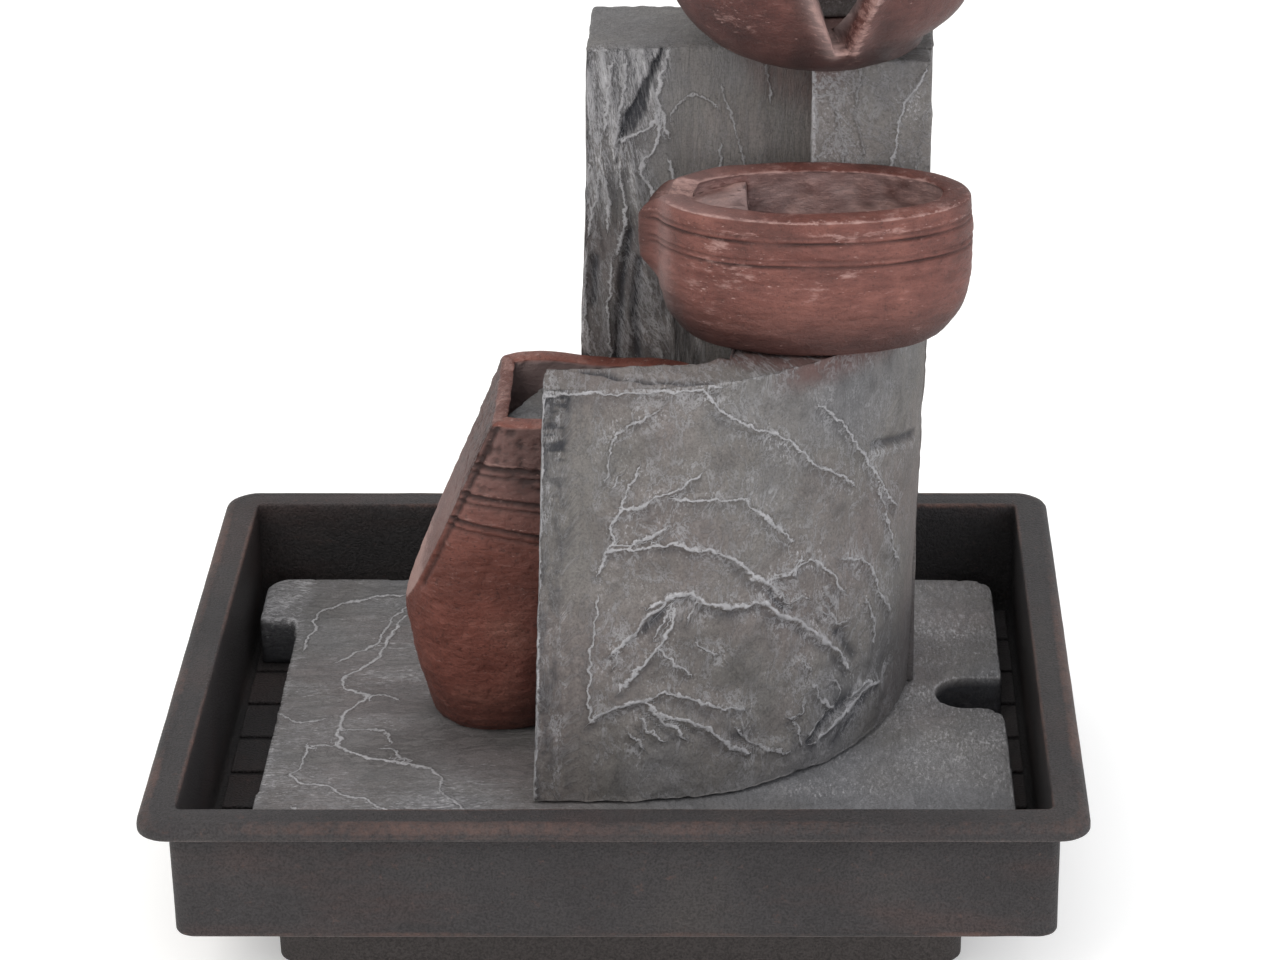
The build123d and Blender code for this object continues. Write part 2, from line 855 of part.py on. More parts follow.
def impeller():
    """The plastic impeller: a hub and a disc with straight blades."""
    y0 = chamber_front_y + cover_plate_thickness + bush_length
    y1 = y0 + blade_height
    y2 = y1 + impeller_disc
    wheel = lying(pump_x, rotor_z, y0, y2, hub_radius)
    wheel += lying(pump_x, rotor_z, y1, y2, blade_radius)
    blade = block(hub_radius / 2, blade_radius, y0, y1, -blade_thickness / 2, blade_thickness / 2)
    for number in range(blade_count):
        wheel += Pos(pump_x, 0, rotor_z) * Rot(0, number * 360 / blade_count, 0) * blade
    bore = lying(pump_x, rotor_z, y0 - overrun, y2 + overrun, shaft_radius + running_clearance)
    return wheel - bore


def rotor_magnet():
    """The magnet behind the impeller, in the rotor's well."""
    y0 = chamber_front_y + cover_plate_thickness + bush_length + blade_height + impeller_disc
    y1 = y0 + magnet_length
    magnet = lying(pump_x, rotor_z, y0, y1, magnet_radius)
    bore = lying(pump_x, rotor_z, y0 - overrun, y1 + overrun, shaft_radius + running_clearance)
    return magnet - bore


def core_place():
    """The front and the back of the stator core along Y."""
    front = well_front_y + housing_wall + core_gap
    return front, front + core_depth


def stator_core():
    """The U-shaped pack of steel sheets on both sides of the rotor's sleeve."""
    y0, y1 = core_place()
    inner = well_radius + sleeve_wall + core_gap
    outer = inner + core_leg
    bottom = pump_bottom + housing_wall + core_gap + winding_wall
    core = block(pump_x - outer, pump_x + outer, y0, y1, bottom, bottom + core_height)
    window_bottom = bottom + core_leg
    window_top = bottom + core_height + overrun
    window = block(pump_x - inner, pump_x + inner, y0 - overrun, y1 + overrun, window_bottom, window_top)
    return core - window


def stator_winding():
    """The copper winding round the core's yoke."""
    y0, y1 = core_place()
    bottom = pump_bottom + housing_wall + core_gap + winding_wall
    half = winding_width / 2
    coil = block(
        pump_x - half,
        pump_x + half,
        y0 - core_gap,
        y1 + winding_wall,
        bottom - winding_wall,
        bottom - winding_wall + winding_height,
    )
    return coil - block(pump_x - half - overrun, pump_x + half + overrun, y0, y1, bottom, bottom + core_leg)


def cable_gland():
    """The rubber gland at the pump's back where its lead comes out."""
    x = pump_x + gland_offset
    z = pump_bottom + gland_rise
    gland = lying(x, z, pump_back_y - housing_wall, pump_back_y + gland_length, gland_radius)
    bore = lying(x, z, pump_back_y, pump_back_y + gland_length + overrun, gland_bore)
    return gland - bore


def potting():
    """The resin that fills the compartment round the stator."""
    fill = compartment() - rotor_sleeve(well_radius + sleeve_wall, sleeve_wall)
    fill -= stator_core()
    fill -= stator_winding()
    fill -= cable_gland()
    return fill


def strainer_cover():
    """The slotted cap that slides off the pump's front step."""
    outer = housing_box(0, strainer_front_y, pump_front_y)
    outer = fillet(outer.edges().filter_by(Axis.Y), housing_rounding)
    inner_front = strainer_front_y + strainer_wall
    cap = outer - housing_box(step_inset - seat_clearance, inner_front, pump_front_y + overrun)
    slot_bottom = pump_bottom + (housing_height - slot_height) / 2
    for side in (-1, 1):
        for number in range(slot_count):
            x = pump_x + side * (dial_radius + slot_pitch * (number + 1 / 2))
            cap -= block(
                x - slot_width / 2,
                x + slot_width / 2,
                strainer_front_y - overrun,
                strainer_front_y + strainer_wall + overrun,
                slot_bottom,
                slot_bottom + slot_height,
            )
    pin_hole = dial_pin_radius + running_clearance
    y1 = strainer_front_y + strainer_wall + overrun
    return cap - lying(pump_x, rotor_z, strainer_front_y - overrun, y1, pin_hole)


def flow_dial():
    """The turning dial on the strainer that sets the flow, with a pin and a head behind the cap."""
    y1 = strainer_front_y - seat_clearance
    y0 = y1 - dial_thickness
    dial = lying(pump_x, rotor_z, y0, y1, dial_radius)
    back = strainer_front_y + strainer_wall + seat_clearance
    dial += lying(pump_x, rotor_z, y1, back, dial_pin_radius)
    dial += lying(pump_x, rotor_z, back, back + dial_head, dial_head_radius)
    half = dial_grip_width / 2
    grip = block(
        pump_x - half, pump_x + half, y0 - dial_grip_height, y0,
        rotor_z - dial_radius + half, rotor_z + dial_radius - half,
    )
    return dial + grip


def suction_cup(x, y):
    """One suction cup: a stem and a bell."""
    top = pump_bottom
    bell_top = well_floor + cup_height / 2
    profile = Polyline(
        (0, bell_top - cup_wall),
        (cup_radius - cup_wall, well_floor),
        (cup_radius, well_floor),
        (cup_radius, well_floor + cup_wall / 2),
        (cup_stem_radius, bell_top + cup_wall / 2),
        (cup_stem_radius, top),
        (0, top),
        close=True,
    )
    plane = Plane(origin=(x, y, 0), x_dir=(1, 0, 0), z_dir=(0, -1, 0))
    return revolve(plane * make_face(profile), Axis((x, y, 0), (0, 0, 1)))


def suction_cups():
    """Four suction cups between the pump and the floor of the tray's foot."""
    reach_x = housing_width / 2 - cup_inset_x
    places = [
        (pump_x + side * reach_x, y)
        for side in (-1, 1)
        for y in (pump_front_y + cup_inset_y, pump_back_y - cup_inset_y)
    ]
    return Compound([suction_cup(x, y) for x, y in places])


tray_pieces = [
    basin,
    basin_feet,
    base_slab,
]

# These are made about the rockery's own origin
rockery_pieces = [
    rear_column,
    side_block,
    front_block,
    jar,
    jar_ledge,
    middle_bowl,
    top_bowl,
    outlet_rock,
    outlet_elbow,
    supply_hose,
    pump_housing,
    outlet_spigot,
    chamber_cover,
    impeller,
    rotor_magnet,
    rotor_shaft,
    front_bush,
    rear_bush,
    stator_core,
    stator_winding,
    potting,
    cable_gland,
    strainer_cover,
    flow_dial,
    suction_cups,
]

os.makedirs("parts", exist_ok=True)
for make in tray_pieces:
    export_step(make(), f"parts/{make.__name__}.step")
for make in rockery_pieces:
    export_step(Pos(rockery_x, 0, 0) * make(), f"parts/{make.__name__}.step")
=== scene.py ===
import math

import bpy
import numpy as np
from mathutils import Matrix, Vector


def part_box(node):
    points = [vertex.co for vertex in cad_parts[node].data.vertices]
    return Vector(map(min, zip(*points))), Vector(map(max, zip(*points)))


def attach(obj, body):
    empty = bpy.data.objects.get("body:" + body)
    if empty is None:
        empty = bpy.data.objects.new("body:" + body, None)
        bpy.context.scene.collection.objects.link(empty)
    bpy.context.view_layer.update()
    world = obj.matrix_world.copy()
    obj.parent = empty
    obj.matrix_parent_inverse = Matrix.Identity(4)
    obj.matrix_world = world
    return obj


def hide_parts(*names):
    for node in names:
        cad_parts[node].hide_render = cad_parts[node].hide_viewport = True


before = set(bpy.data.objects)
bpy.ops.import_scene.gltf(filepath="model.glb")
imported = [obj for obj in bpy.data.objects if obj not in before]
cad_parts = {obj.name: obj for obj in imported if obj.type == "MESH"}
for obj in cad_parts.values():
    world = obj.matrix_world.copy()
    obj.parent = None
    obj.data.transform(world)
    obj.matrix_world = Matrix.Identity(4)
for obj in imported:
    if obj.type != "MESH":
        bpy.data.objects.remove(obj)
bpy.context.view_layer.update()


# The view. The photograph looks down on the fountain from a little more than a metre away, through a long lens,
# and its frame is cut off above the middle of the top bowl and below the top of the foot.
def placed(name, data):
    """A new object in the scene."""
    thing = bpy.data.objects.new(name, data)
    bpy.context.scene.collection.objects.link(thing)
    return thing


view_data = bpy.data.cameras.new("view")
view_data.sensor_width = 36.0
view_data.lens = 108.3
view_data.shift_x = -0.1068
view = placed("view", view_data)
view.location = (0.0512, -1.1524, 0.694)
view.rotation_euler = (math.radians(64.13), 0, 0)
bpy.context.scene.camera = view
bpy.context.scene.view_settings.view_transform = "Standard"


# The studio: a pale sheet on the floor, a large soft lamp at the upper left, weaker ones at the right, behind and low
# in front, and even white light from all around.
def linear(colour):
    """The linear colour that a socket takes, from a screen colour such as #6f6862 or from a share of white."""
    if isinstance(colour, float):
        return (colour, colour, colour, 1.0)
    parts = [int(colour[i : i + 2], 16) / 255 for i in (1, 3, 5)]
    return tuple(p / 12.92 if p <= 0.04045 else ((p + 0.055) / 1.055) ** 2.4 for p in parts) + (1.0,)


def add(finish, kind, inputs=None, stops=None, **settings):
    """Adds one node to a finish, with its settings, its inputs as values or links, and a ramp's stops."""
    node = finish.node_tree.nodes.new("ShaderNode" + kind)
    for name, value in settings.items():
        setattr(node, name, value)
    for key, value in (inputs or {}).items():
        if isinstance(value, bpy.types.NodeSocket):
            finish.node_tree.links.new(value, node.inputs[key])
        else:
            node.inputs[key].default_value = value
    if stops:
        bar = node.color_ramp.elements
        bar[0].position, bar[0].color = stops[0]
        bar[1].position, bar[1].color = stops[-1]
        for position, colour in stops[1:-1]:
            bar.new(position).color = colour
    return node


def new_finish(name):
    """An empty finish."""
    finish = bpy.data.materials.new(name)
    finish.use_nodes = True
    finish.node_tree.nodes.clear()
    return finish


# Matt white paper, which glows a little to the camera alone, so that the ground stays clean
floor_sheet = new_finish("matt_white_paper_backdrop")
paper = add(floor_sheet, "BsdfDiffuse", {"Color": linear("#f4f4f3")}).outputs[0]
glow = add(floor_sheet, "Emission", {"Color": linear(1.0), "Strength": 0.3}).outputs[0]
glowing = add(floor_sheet, "AddShader", {0: paper, 1: glow}).outputs[0]
seen = add(floor_sheet, "LightPath").outputs["Is Camera Ray"]
choice = add(floor_sheet, "MixShader", {0: seen, 1: paper, 2: glowing}).outputs[0]
add(floor_sheet, "OutputMaterial", {"Surface": choice})
reach = 6.0
floor_mesh = bpy.data.meshes.new("studio_floor")
floor_mesh.from_pydata([(-reach, -reach, 0), (reach, -reach, 0), (reach, reach, 0), (-reach, reach, 0)], [], [range(4)])
floor_mesh.materials.append(floor_sheet)
floor = placed("studio_floor", floor_mesh)

aimed_at = np.array((0.0, 0.0, 0.15))
for name, place, size, power, colour in (
    ("window_light", (-0.95, -1.15, 1.45), 1.2, 12.5, "#fffaf4"),
    ("front_light", (0.1, -1.7, 0.22), 1.0, 4.5, "#ffffff"),
    ("fill_light", (1.35, -1.0, 0.9), 1.2, 10.0, "#f6f8ff"),
    ("top_light", (0.0, 0.45, 1.7), 1.3, 6.0, "#ffffff"),
):
    lamp_data = bpy.data.lights.new(name, "AREA")
    lamp_data.size = size
    lamp_data.energy = power
    lamp_data.color = linear(colour)[:3]
    lamp = placed(name, lamp_data)
    lamp.location = place
    aim = aimed_at - np.array(place)
    lamp.rotation_euler = (math.atan2(math.hypot(aim[0], aim[1]), -aim[2]), 0, math.atan2(-aim[0], aim[1]))

sky = bpy.data.worlds.new("studio_light")
sky.use_nodes = True
sky.node_tree.nodes["Background"].inputs["Color"].default_value = linear(1.0)
sky.node_tree.nodes["Background"].inputs["Strength"].default_value = 0.72
bpy.context.scene.world = sky


# The tray. A deep black-brown tray moulded in one piece, with a turned-down rim all round and a narrower foot
# below it that makes room for the pump. Its stippled faces are rubbed with a little copper along the edges.
def grain(points, size, seed=0):
    """Smooth random swells about as wide as the size in millimetres, from -1 to 1."""
    cell = points / size
    low = np.floor(cell).astype(np.int64)
    t = cell - low
    t = t * t * (3 - 2 * t)
    total = np.zeros(len(points))
    for corner in range(8):
        step = np.array([corner & 1, corner >> 1 & 1, corner >> 2 & 1])
        key = (low + step) @ np.array([73856093, 19349663, 83492791]) + seed * 2654435
        key = ((key ^ (key >> 13)) * 1274126177) & 0xFFFFFFFF
        key = key ^ (key >> 16)
        total += np.prod(np.where(step, t, 1 - t), axis=1) * ((key % 65536) / 32767.5 - 1)
    return total


def step_up(value, low, high):
    """Rises smoothly from 0 to 1 between two values."""
    t = np.clip((value - low) / (high - low), 0, 1)
    return t * t * (3 - 2 * t)


def step_down(value, low, high):
    """Falls smoothly from 1 to 0 between two values."""
    return step_up(-value, -high, -low)


def bell(value, width):
    """1 at zero, a third at the width and next to nothing at twice the width."""
    return np.exp(-((value / width) ** 2))


def length(vectors):
    """The length of each vector."""
    return np.linalg.norm(vectors, axis=1)


def outward(points, quads):
    """The outward direction at each point of a skin of quads."""
    corners = points[quads]
    cross = np.cross(corners[:, 2] - corners[:, 0], corners[:, 3] - corners[:, 1])
    total = np.zeros_like(points)
    for side in range(4):
        np.add.at(total, quads[:, side], cross)
    return total / np.maximum(length(total), 1e-9)[:, None]


def cast(name, points, faces, finish, marks):
    """A piece from points in millimetres, with painted marks kept as attributes of its points."""
    mesh = bpy.data.meshes.new(name)
    mesh.from_pydata((points / 1000).tolist(), [], [f for group in faces for f in group.tolist()])
    for mark, values in marks.items():
        if values.ndim == 2:
            layer = mesh.attributes.new(mark, "FLOAT_VECTOR", "POINT")
            layer.data.foreach_set("vector", (values / 1000).astype(np.float32).ravel())
        else:
            layer = mesh.attributes.new(mark, "FLOAT", "POINT")
            layer.data.foreach_set("value", np.clip(values, 0, 1).astype(np.float32))
    mesh.materials.append(finish)
    mesh.shade_smooth()
    return placed(name, mesh)


def rounded_ring(half_x, half_y, corner, across, along, arc):
    """Points round a rectangle with rounded corners, anticlockwise from the front left."""
    corner = min(corner, half_x, half_y)
    middle = np.array((half_x - corner, half_y - corner))
    signs = np.array(((-1, -1), (1, -1), (1, 1), (-1, 1)))
    ring = []
    for turn in range(4):
        angles = math.pi + math.pi / 2 * (turn + np.arange(arc + 1) / arc)
        bend = corner * np.stack([np.cos(angles), np.sin(angles)], 1)
        begin = signs[turn] * middle + bend[-1]
        end = signs[(turn + 1) % 4] * middle + bend[-1]
        count = along if turn % 2 else across
        ring += [signs[turn] * middle + bend[:-1], begin + (end - begin) * (np.arange(count) / count)[:, None]]
    return np.vstack(ring)


def drawn_in(ring, share):
    """A ring drawn in towards its middle."""
    return ring.mean(0) + (ring - ring.mean(0)) * share


def ringed(rings):
    """A closed skin through rings of points, the first and the last closed by a fan round their middle."""
    count = len(rings[0])
    points = np.vstack([*rings, rings[0].mean(0)[None], rings[-1].mean(0)[None]])
    row = np.arange(count)
    ahead = (row + 1) % count
    quads = [
        np.stack([row + k * count, ahead + k * count, ahead + (k + 1) * count, row + (k + 1) * count], 1)
        for k in range(len(rings) - 1)
    ]
    top = (len(rings) - 1) * count
    fans = [
        np.stack([ahead, row, np.full(count, len(points) - 2)], 1),
        np.stack([row + top, ahead + top, np.full(count, len(points) - 1)], 1),
    ]
    return points, np.vstack(quads), np.vstack(fans)


def attribute(finish, name, output="Fac"):
    """What one of the painted marks says."""
    return add(finish, "Attribute", attribute_name=name).outputs[output]


def noise(finish, place, scale, detail, roughness, distortion=0.0):
    """A cloudy pattern: a scale of 100 makes its widest swells 10 mm wide."""
    inputs = {"Vector": place, "Scale": scale, "Detail": detail, "Roughness": roughness, "Distortion": distortion}
    return add(finish, "TexNoise", inputs).outputs["Fac"]


def ramp(finish, value, *stops):
    """A value turned into colours, or into shares of white, at the stops given."""
    return add(finish, "ValToRGB", {"Fac": value}, [(at, linear(colour)) for at, colour in stops]).outputs[0]


def maths(finish, operation, *values, clamp=False):
    """One sum of numbers and links."""
    return add(finish, "Math", dict(enumerate(values)), operation=operation, use_clamp=clamp).outputs[0]


def mixed(finish, share, first, second, blend="MIX"):
    """Two colours mixed. The second may be a screen colour."""
    second = linear(second) if isinstance(second, str) else second
    return add(finish, "Mix", {0: share, 6: first, 7: second}, data_type="RGBA", blend_type=blend).outputs[2]


def coated(finish, colour, relief, strength, depth, roughness, specular=0.5, metallic=0.0):
    """Ends a finish with its colour, its relief and its sheen. The depth is in millimetres."""
    bump = add(finish, "Bump", {"Height": relief, "Strength": strength, "Distance": depth / 1000}).outputs[0]
    inputs = {"Base Color": colour, "Normal": bump, "Roughness": roughness, "IOR": 1.5}
    inputs |= {"Specular IOR Level": specular, "Metallic": metallic}
    add(finish, "OutputMaterial", {"Surface": add(finish, "BsdfPrincipled", inputs).outputs[0]})


# Moulded ABS: black-brown, satin, stippled by the mould, with copper wax rubbed over its edges and worn patches,
# painted shade on its inner walls and painted light on its foot and lip
tray_finish = new_finish("moulded_abs_black_brown_copper_rubbed")
place = add(tray_finish, "TexCoord").outputs["Object"]
rub_and_highlight, shade, painted_light = (attribute(tray_finish, mark) for mark in ("rub_and_highlight", "shade", "painted_light"))
# Stipple of the mould 0.8 mm wide, clouds 40 mm wide, copper flecks 3 mm wide, and patches 60 mm long and 16 mm high
stipple = noise(tray_finish, place, 1300.0, 3.0, 0.6)
clouds = noise(tray_finish, place, 24.0, 5.0, 0.6)
flecks = noise(tray_finish, place, 330.0, 6.0, 0.75)
wiped = add(tray_finish, "Mapping", {"Vector": place, "Scale": (0.4, 0.4, 1.6)}).outputs[0]
patches = ramp(tray_finish, noise(tray_finish, wiped, 40.0, 6.0, 0.65), (0.5, 0.0), (0.75, 0.42))
body = ramp(tray_finish, clouds, (0.3, "#3b3839"), (0.52, "#434041"), (0.72, "#4b4746"))
warm = mixed(tray_finish, patches, body, "#5c443f")
# Painted light: the foot and the lower edge of the lip turn paler
brushed_and_lit = mixed(tray_finish, painted_light, warm, "#bbaeaa")
# Painted shade darkens the inner walls
dark = mixed(tray_finish, shade, brushed_and_lit, "#1d1d1e")
pitted = ramp(tray_finish, stipple, (0.36, "#a0a0a0"), (0.6, "#ffffff"))
grained = mixed(tray_finish, 0.75, dark, pitted, "MULTIPLY")
copper = ramp(tray_finish, maths(tray_finish, "MULTIPLY", rub_and_highlight, flecks), (0.2, 0.0), (0.56, 0.75))
specks = ramp(tray_finish, flecks, (0.6, 0.0), (0.72, 0.42))
lit_specks = maths(tray_finish, "MULTIPLY", specks, maths(tray_finish, "SUBTRACT", 1.0, shade))
skin = mixed(tray_finish, maths(tray_finish, "MAXIMUM", copper, lit_specks), grained, "#75584f")
coated(tray_finish, skin, stipple, 0.9, 1.2, 0.52, 0.3)

tray_half = np.array((150.0, 120.0))
foot_top, rim_bottom = 29.5, 67.5
# Each step of the section, from the underside round the rim to the floor: how far it lies inside the tray's edge,
# its height, its corner and how much copper it has
tray_section = [(59.5, 2.0, 8.0, 0.0), (38.9, 2.0, 8.0, 0.0), (38.3, 2.8, 8.0, 0.3), (38.2, 10.0, 8.0, 0.0)]
tray_section += [(38.0, 18.0, 8.0, 0.0), (38.0, 25.4, 8.0, 0.1), (37.6, 26.0, 8.0, 0.0)]
tray_section += [(30.0, 26.0, 6.0, 0.0), (18.0, 26.0, 5.0, 0.0), (11.5, 26.0, 4.5, 0.2)]
tray_section += [(9.0 + 2.5 * (1 - math.sin(a)), 28.5 - 2.5 * math.cos(a), 5.0, 0.75) for a in (0.5, 1.0, 1.4)]
tray_section += [(9.0, z, 5.0, 0.04) for z in (30.0, 34.0, 39.0, 45.0, 51.0, 57.0, 63.0, 67.0)]
tray_section += [(8.9, 70.2, 5.2, 0.0), (8.2, 70.4, 6.0, 0.0), (5.0, 70.4, 6.0, 0.0), (2.7, 70.2, 7.4, 0.0)]
tray_section += [(2.6, 69.0, 7.4, 0.0), (2.6, 67.8, 7.4, 0.0), (2.2, 67.5, 7.8, 0.2), (0.5, 67.5, 9.6, 0.2)]
tray_section += [(0.0, 67.9, 10.0, 0.3), (0.0, 68.8, 10.0, 0.6), (0.0, 69.6, 10.0, 0.5)]
tray_section += [
    (3.4 - 3.4 * math.cos(a), 69.6 + 3.4 * math.sin(a), 10.0, 0.72) for a in (0.35, 0.7, 1.05, 1.35, 1.57)
]
tray_section += [(d, 73.0 + 0.12 * math.sin(d), 9.0 - (d - 3.4) * 0.8, 0.34) for d in (4.6, 6.0, 7.6, 9.2, 10.4)]
tray_section += [(11.3, 72.9, 2.6, 0.8), (11.8, 72.6, 2.2, 0.9), (12.0, 72.0, 2.0, 0.8), (12.0, 70.5, 2.0, 0.2)]
tray_section += [(12.0, z, 2.0, 0.05) for z in (67.0, 62.0, 56.0, 50.0, 44.0, 38.0, 33.0)]
tray_section += [(12.2, 30.2, 2.2, 0.0), (13.2, 29.1, 3.0, 0.0), (17.0, 29.0, 3.0, 0.0), (26.0, 29.0, 4.0, 0.0)]
tray_section += [(36.0, 29.0, 5.0, 0.0), (40.2, 29.0, 5.0, 0.1), (41.0, 28.2, 5.0, 0.2), (41.3, 20.0, 5.0, 0.0)]
tray_section += [(41.6, 9.0, 5.0, 0.0), (41.9, 5.4, 5.0, 0.0), (42.6, 5.0, 5.0, 0.0), (58.0, 5.0, 5.0, 0.0)]
rings = []
for inset, height, corner, _ in tray_section:
    # The foot stands further in from the left and the right than from the front and the back
    shift = np.interp(inset, (12.0, 38.0), (0.0, -7.0)) if height < foot_top else 0.0
    outline = rounded_ring(tray_half[0] - inset, tray_half[1] - inset - shift, corner, 150, 120, 8)
    rings.append(np.column_stack([outline, np.full(len(outline), height)]))
closing = (0.15, 0.45, 0.75)
under = [drawn_in(rings[0], share) for share in closing]
over = [drawn_in(rings[-1], share) for share in closing[::-1]]
points, quads, fans = ringed([*under, *rings, *over])
copper = np.repeat([0.0] * 3 + [step[3] for step in tray_section] + [0.0] * 3, len(rings[0]))
out = outward(points, quads)
wave = 0.16 * grain(points, 46.0, 3) + 0.08 * grain(points, 9.0, 4)
standing_clear = step_up(np.abs(points[:, 2] - 2.0), 0.0, 4.0)
points = points - out * (np.abs(wave) * standing_clear)[:, None]
points[:, :2] = np.clip(points[:, :2], -tray_half, tray_half)
x, y, z = points.T
rub_and_highlight = np.append(copper, (0.0, 0.0)) * (0.75 + 0.5 * grain(points, 22.0, 5))
from_edge = np.minimum(tray_half[0] - np.abs(x), tray_half[1] - np.abs(y))
# Painted shade on the inner walls, weaker on the left wall
shade = 0.85 * step_up(from_edge, 11.4, 12.4) * step_down(z, 66.0, 72.4) * (1 - 0.35 * step_down(x, -130.0, -110.0))
lip = bell(z - rim_bottom, 0.3) * step_down(from_edge, 1.8, 2.6)
# Painted light on the foot, which stands in the shade of the rim, and a painted highlight along the lower edge of the
# lip
painted_light = step_down(z, 25.5, 27.0) + lip * (0.6 + 0.4 * grain(points, 12.0, 6))
tray = cast("moulded_tray", points, [quads, fans], tray_finish, {"rub_and_highlight": rub_and_highlight, "shade": shade, "painted_light": painted_light})
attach(tray, "basin")
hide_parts("basin")


# The raised pads on the tray's floor, moulded with it, that hold the rockery clear of the water. They stand in rows
# with narrow channels between them, along all four sides.
def made(thing):
    """The mesh that an object's modifiers make."""
    return bpy.data.meshes.new_from_object(thing.evaluated_get(bpy.context.evaluated_depsgraph_get()))


def pad_rows(name, count, pitch, pad_size, start, along):
    """One row of like pads, as a plain mesh made by a node tree. Its sizes are in metres."""
    tree = bpy.data.node_groups.new(name, "GeometryNodeTree")
    given, line, cube, spread, real, painted, result = (
        tree.nodes.new(kind)
        for kind in (
            "NodeGroupInput", "GeometryNodeMeshLine", "GeometryNodeMeshCube", "GeometryNodeInstanceOnPoints",
            "GeometryNodeRealizeInstances", "GeometryNodeSetMaterial", "NodeGroupOutput",
        )
    )
    tree.interface.new_socket("Geometry", in_out="OUTPUT", socket_type="NodeSocketGeometry")
    painted.inputs["Material"].default_value = tray_finish
    sizes = {}
    for label, kind, value, socket in (
        ("Pads", "Int", count, line.inputs["Count"]),
        ("Pitch", "Vector", [pitch * a for a in along], line.inputs["Offset"]),
        ("Start", "Vector", list(start), line.inputs["Start Location"]),
        ("Pad size", "Vector", list(pad_size), cube.inputs["Size"]),
    ):
        input_row = tree.interface.new_socket(label, in_out="INPUT", socket_type="NodeSocket" + kind)
        tree.links.new(given.outputs[label], socket)
        sizes[input_row.identifier] = value
    for a, b in (
        (line.outputs["Mesh"], spread.inputs["Points"]),
        (cube.outputs["Mesh"], spread.inputs["Instance"]),
        (spread.outputs["Instances"], real.inputs["Geometry"]),
        (real.outputs["Geometry"], painted.inputs["Geometry"]),
        (painted.outputs["Geometry"], result.inputs["Geometry"]),
    ):
        tree.links.new(a, b)
    maker = placed(name + "_maker", bpy.data.meshes.new(name))
    rows = maker.modifiers.new("rows", "NODES")
    rows.node_group = tree
    for identifier, value in sizes.items():
        rows[identifier] = value
    soft = maker.modifiers.new("soft", "BEVEL")
    soft.width = 0.0006
    soft.segments = 2
    piece = placed(name, made(maker))
    bpy.data.objects.remove(maker)
    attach(piece, "basin")


pad_middle = 0.0292
for side, label in ((-1, "left"), (1, "right")):
    pad_rows(
        f"floor_pads_{label}", count=9, pitch=0.024, pad_size=(0.0238, 0.0216, 0.0016),
        start=(side * 0.1237, -0.096, pad_middle), along=(0, 1, 0),
    )
for side, label in ((-1, "front"), (1, "back")):
    pad_rows(
        f"floor_pads_{label}", count=9, pitch=0.02378, pad_size=(0.0214, 0.018, 0.0016),
        start=(-0.0951, side * 0.097, pad_middle), along=(1, 0, 0),
    )


# The base slab of the rockery: a hollow plate cast in resin and painted as slate. It stands on the tray's floor over
# the pump, with a notch at its right for the lead, and its top is dry-brushed with white.
slab_top = 49.0


def rugged(points, size, seed=0, layers=4):
    """Random relief with ever finer layers, each half as wide and half as high as the one before."""
    return sum(grain(points, size / 2**n, seed + 17 * n) / 2**n for n in range(layers))


def sway(points, size, seed):
    """Random swells in two directions."""
    return np.stack([grain(points, size, seed), grain(points, size, seed + 1)], 1)


def beside(places, lines):
    """For the nearest of some weighted lines: its distance, its distance with a sign for the side, and its weight."""
    nearest = np.full(len(places), 1e9)
    signed = np.zeros(len(places))
    weight = np.zeros(len(places))
    for share, line in lines:
        for a, b in zip(line, line[1:]):
            run = np.subtract(b, a)
            off = places - a
            off = off - np.clip(off @ run / (run @ run), 0, 1)[:, None] * run
            gap = length(off)
            closer = gap < nearest
            nearest = np.where(closer, gap, nearest)
            signed = np.where(closer, gap * np.sign(run[0] * off[:, 1] - run[1] * off[:, 0]), signed)
            weight = np.where(closer, share, weight)
    return nearest, signed, weight


def away(places, line):
    """How far each place, given by two coordinates, lies from a line through points."""
    return beside(places, [(1.0, line)])[0]


def near_line(gap):
    """Full along a drawn line and gone 4 mm beside it."""
    return np.exp(-((gap / 3.0) ** 4))


def drawn_line(signed):
    """The mark that tells the finish how far a drawn line lies: a half on it, and all or none 4 mm beside it."""
    return 0.5 + signed / 8.0


def eased(points, quads):
    """Evens a skin out by moving each point, twice, halfway to the middle of its neighbours."""
    for _ in range(2):
        total = np.zeros_like(points)
        number = np.zeros(len(points))
        for a, b in ((0, 1), (1, 2), (2, 3), (3, 0)):
            for here, there in ((a, b), (b, a)):
                np.add.at(total, quads[:, here], points[quads[:, there]])
                np.add.at(number, quads[:, here], 1)
        points = 0.5 * points + 0.5 * total / np.maximum(number, 1)[:, None]
    return points


def blank(node, grid):
    """A node's solid as an even skin of quads, in millimetres, with its outward directions."""
    rough = placed(node + "_blank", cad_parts[node].data.copy())
    rough.modifiers.new("weld", "WELD").merge_threshold = 0.00002
    even = rough.modifiers.new("even", "REMESH")
    even.mode = "VOXEL"
    even.voxel_size = grid / 1000
    skin = made(rough)
    points = np.zeros(len(skin.vertices) * 3)
    skin.vertices.foreach_get("co", points)
    quads = np.array([p.vertices[:] for p in skin.polygons if len(p.vertices) == 4], int)
    others = [np.array([p.vertices[:]], int) for p in skin.polygons if len(p.vertices) != 4]
    bpy.data.objects.remove(rough)
    points = eased(points.reshape(-1, 3) * 1000, quads)
    return points, [quads, *others], outward(points, quads)


def within_box(points, node, spare=0.0):
    """Keeps a piece inside the box of the solid that it replaces, with some spare room above it."""
    low, high = (np.array(corner) * 1000 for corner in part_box(node))
    return np.clip(points, low, high + (0.0, 0.0, spare))


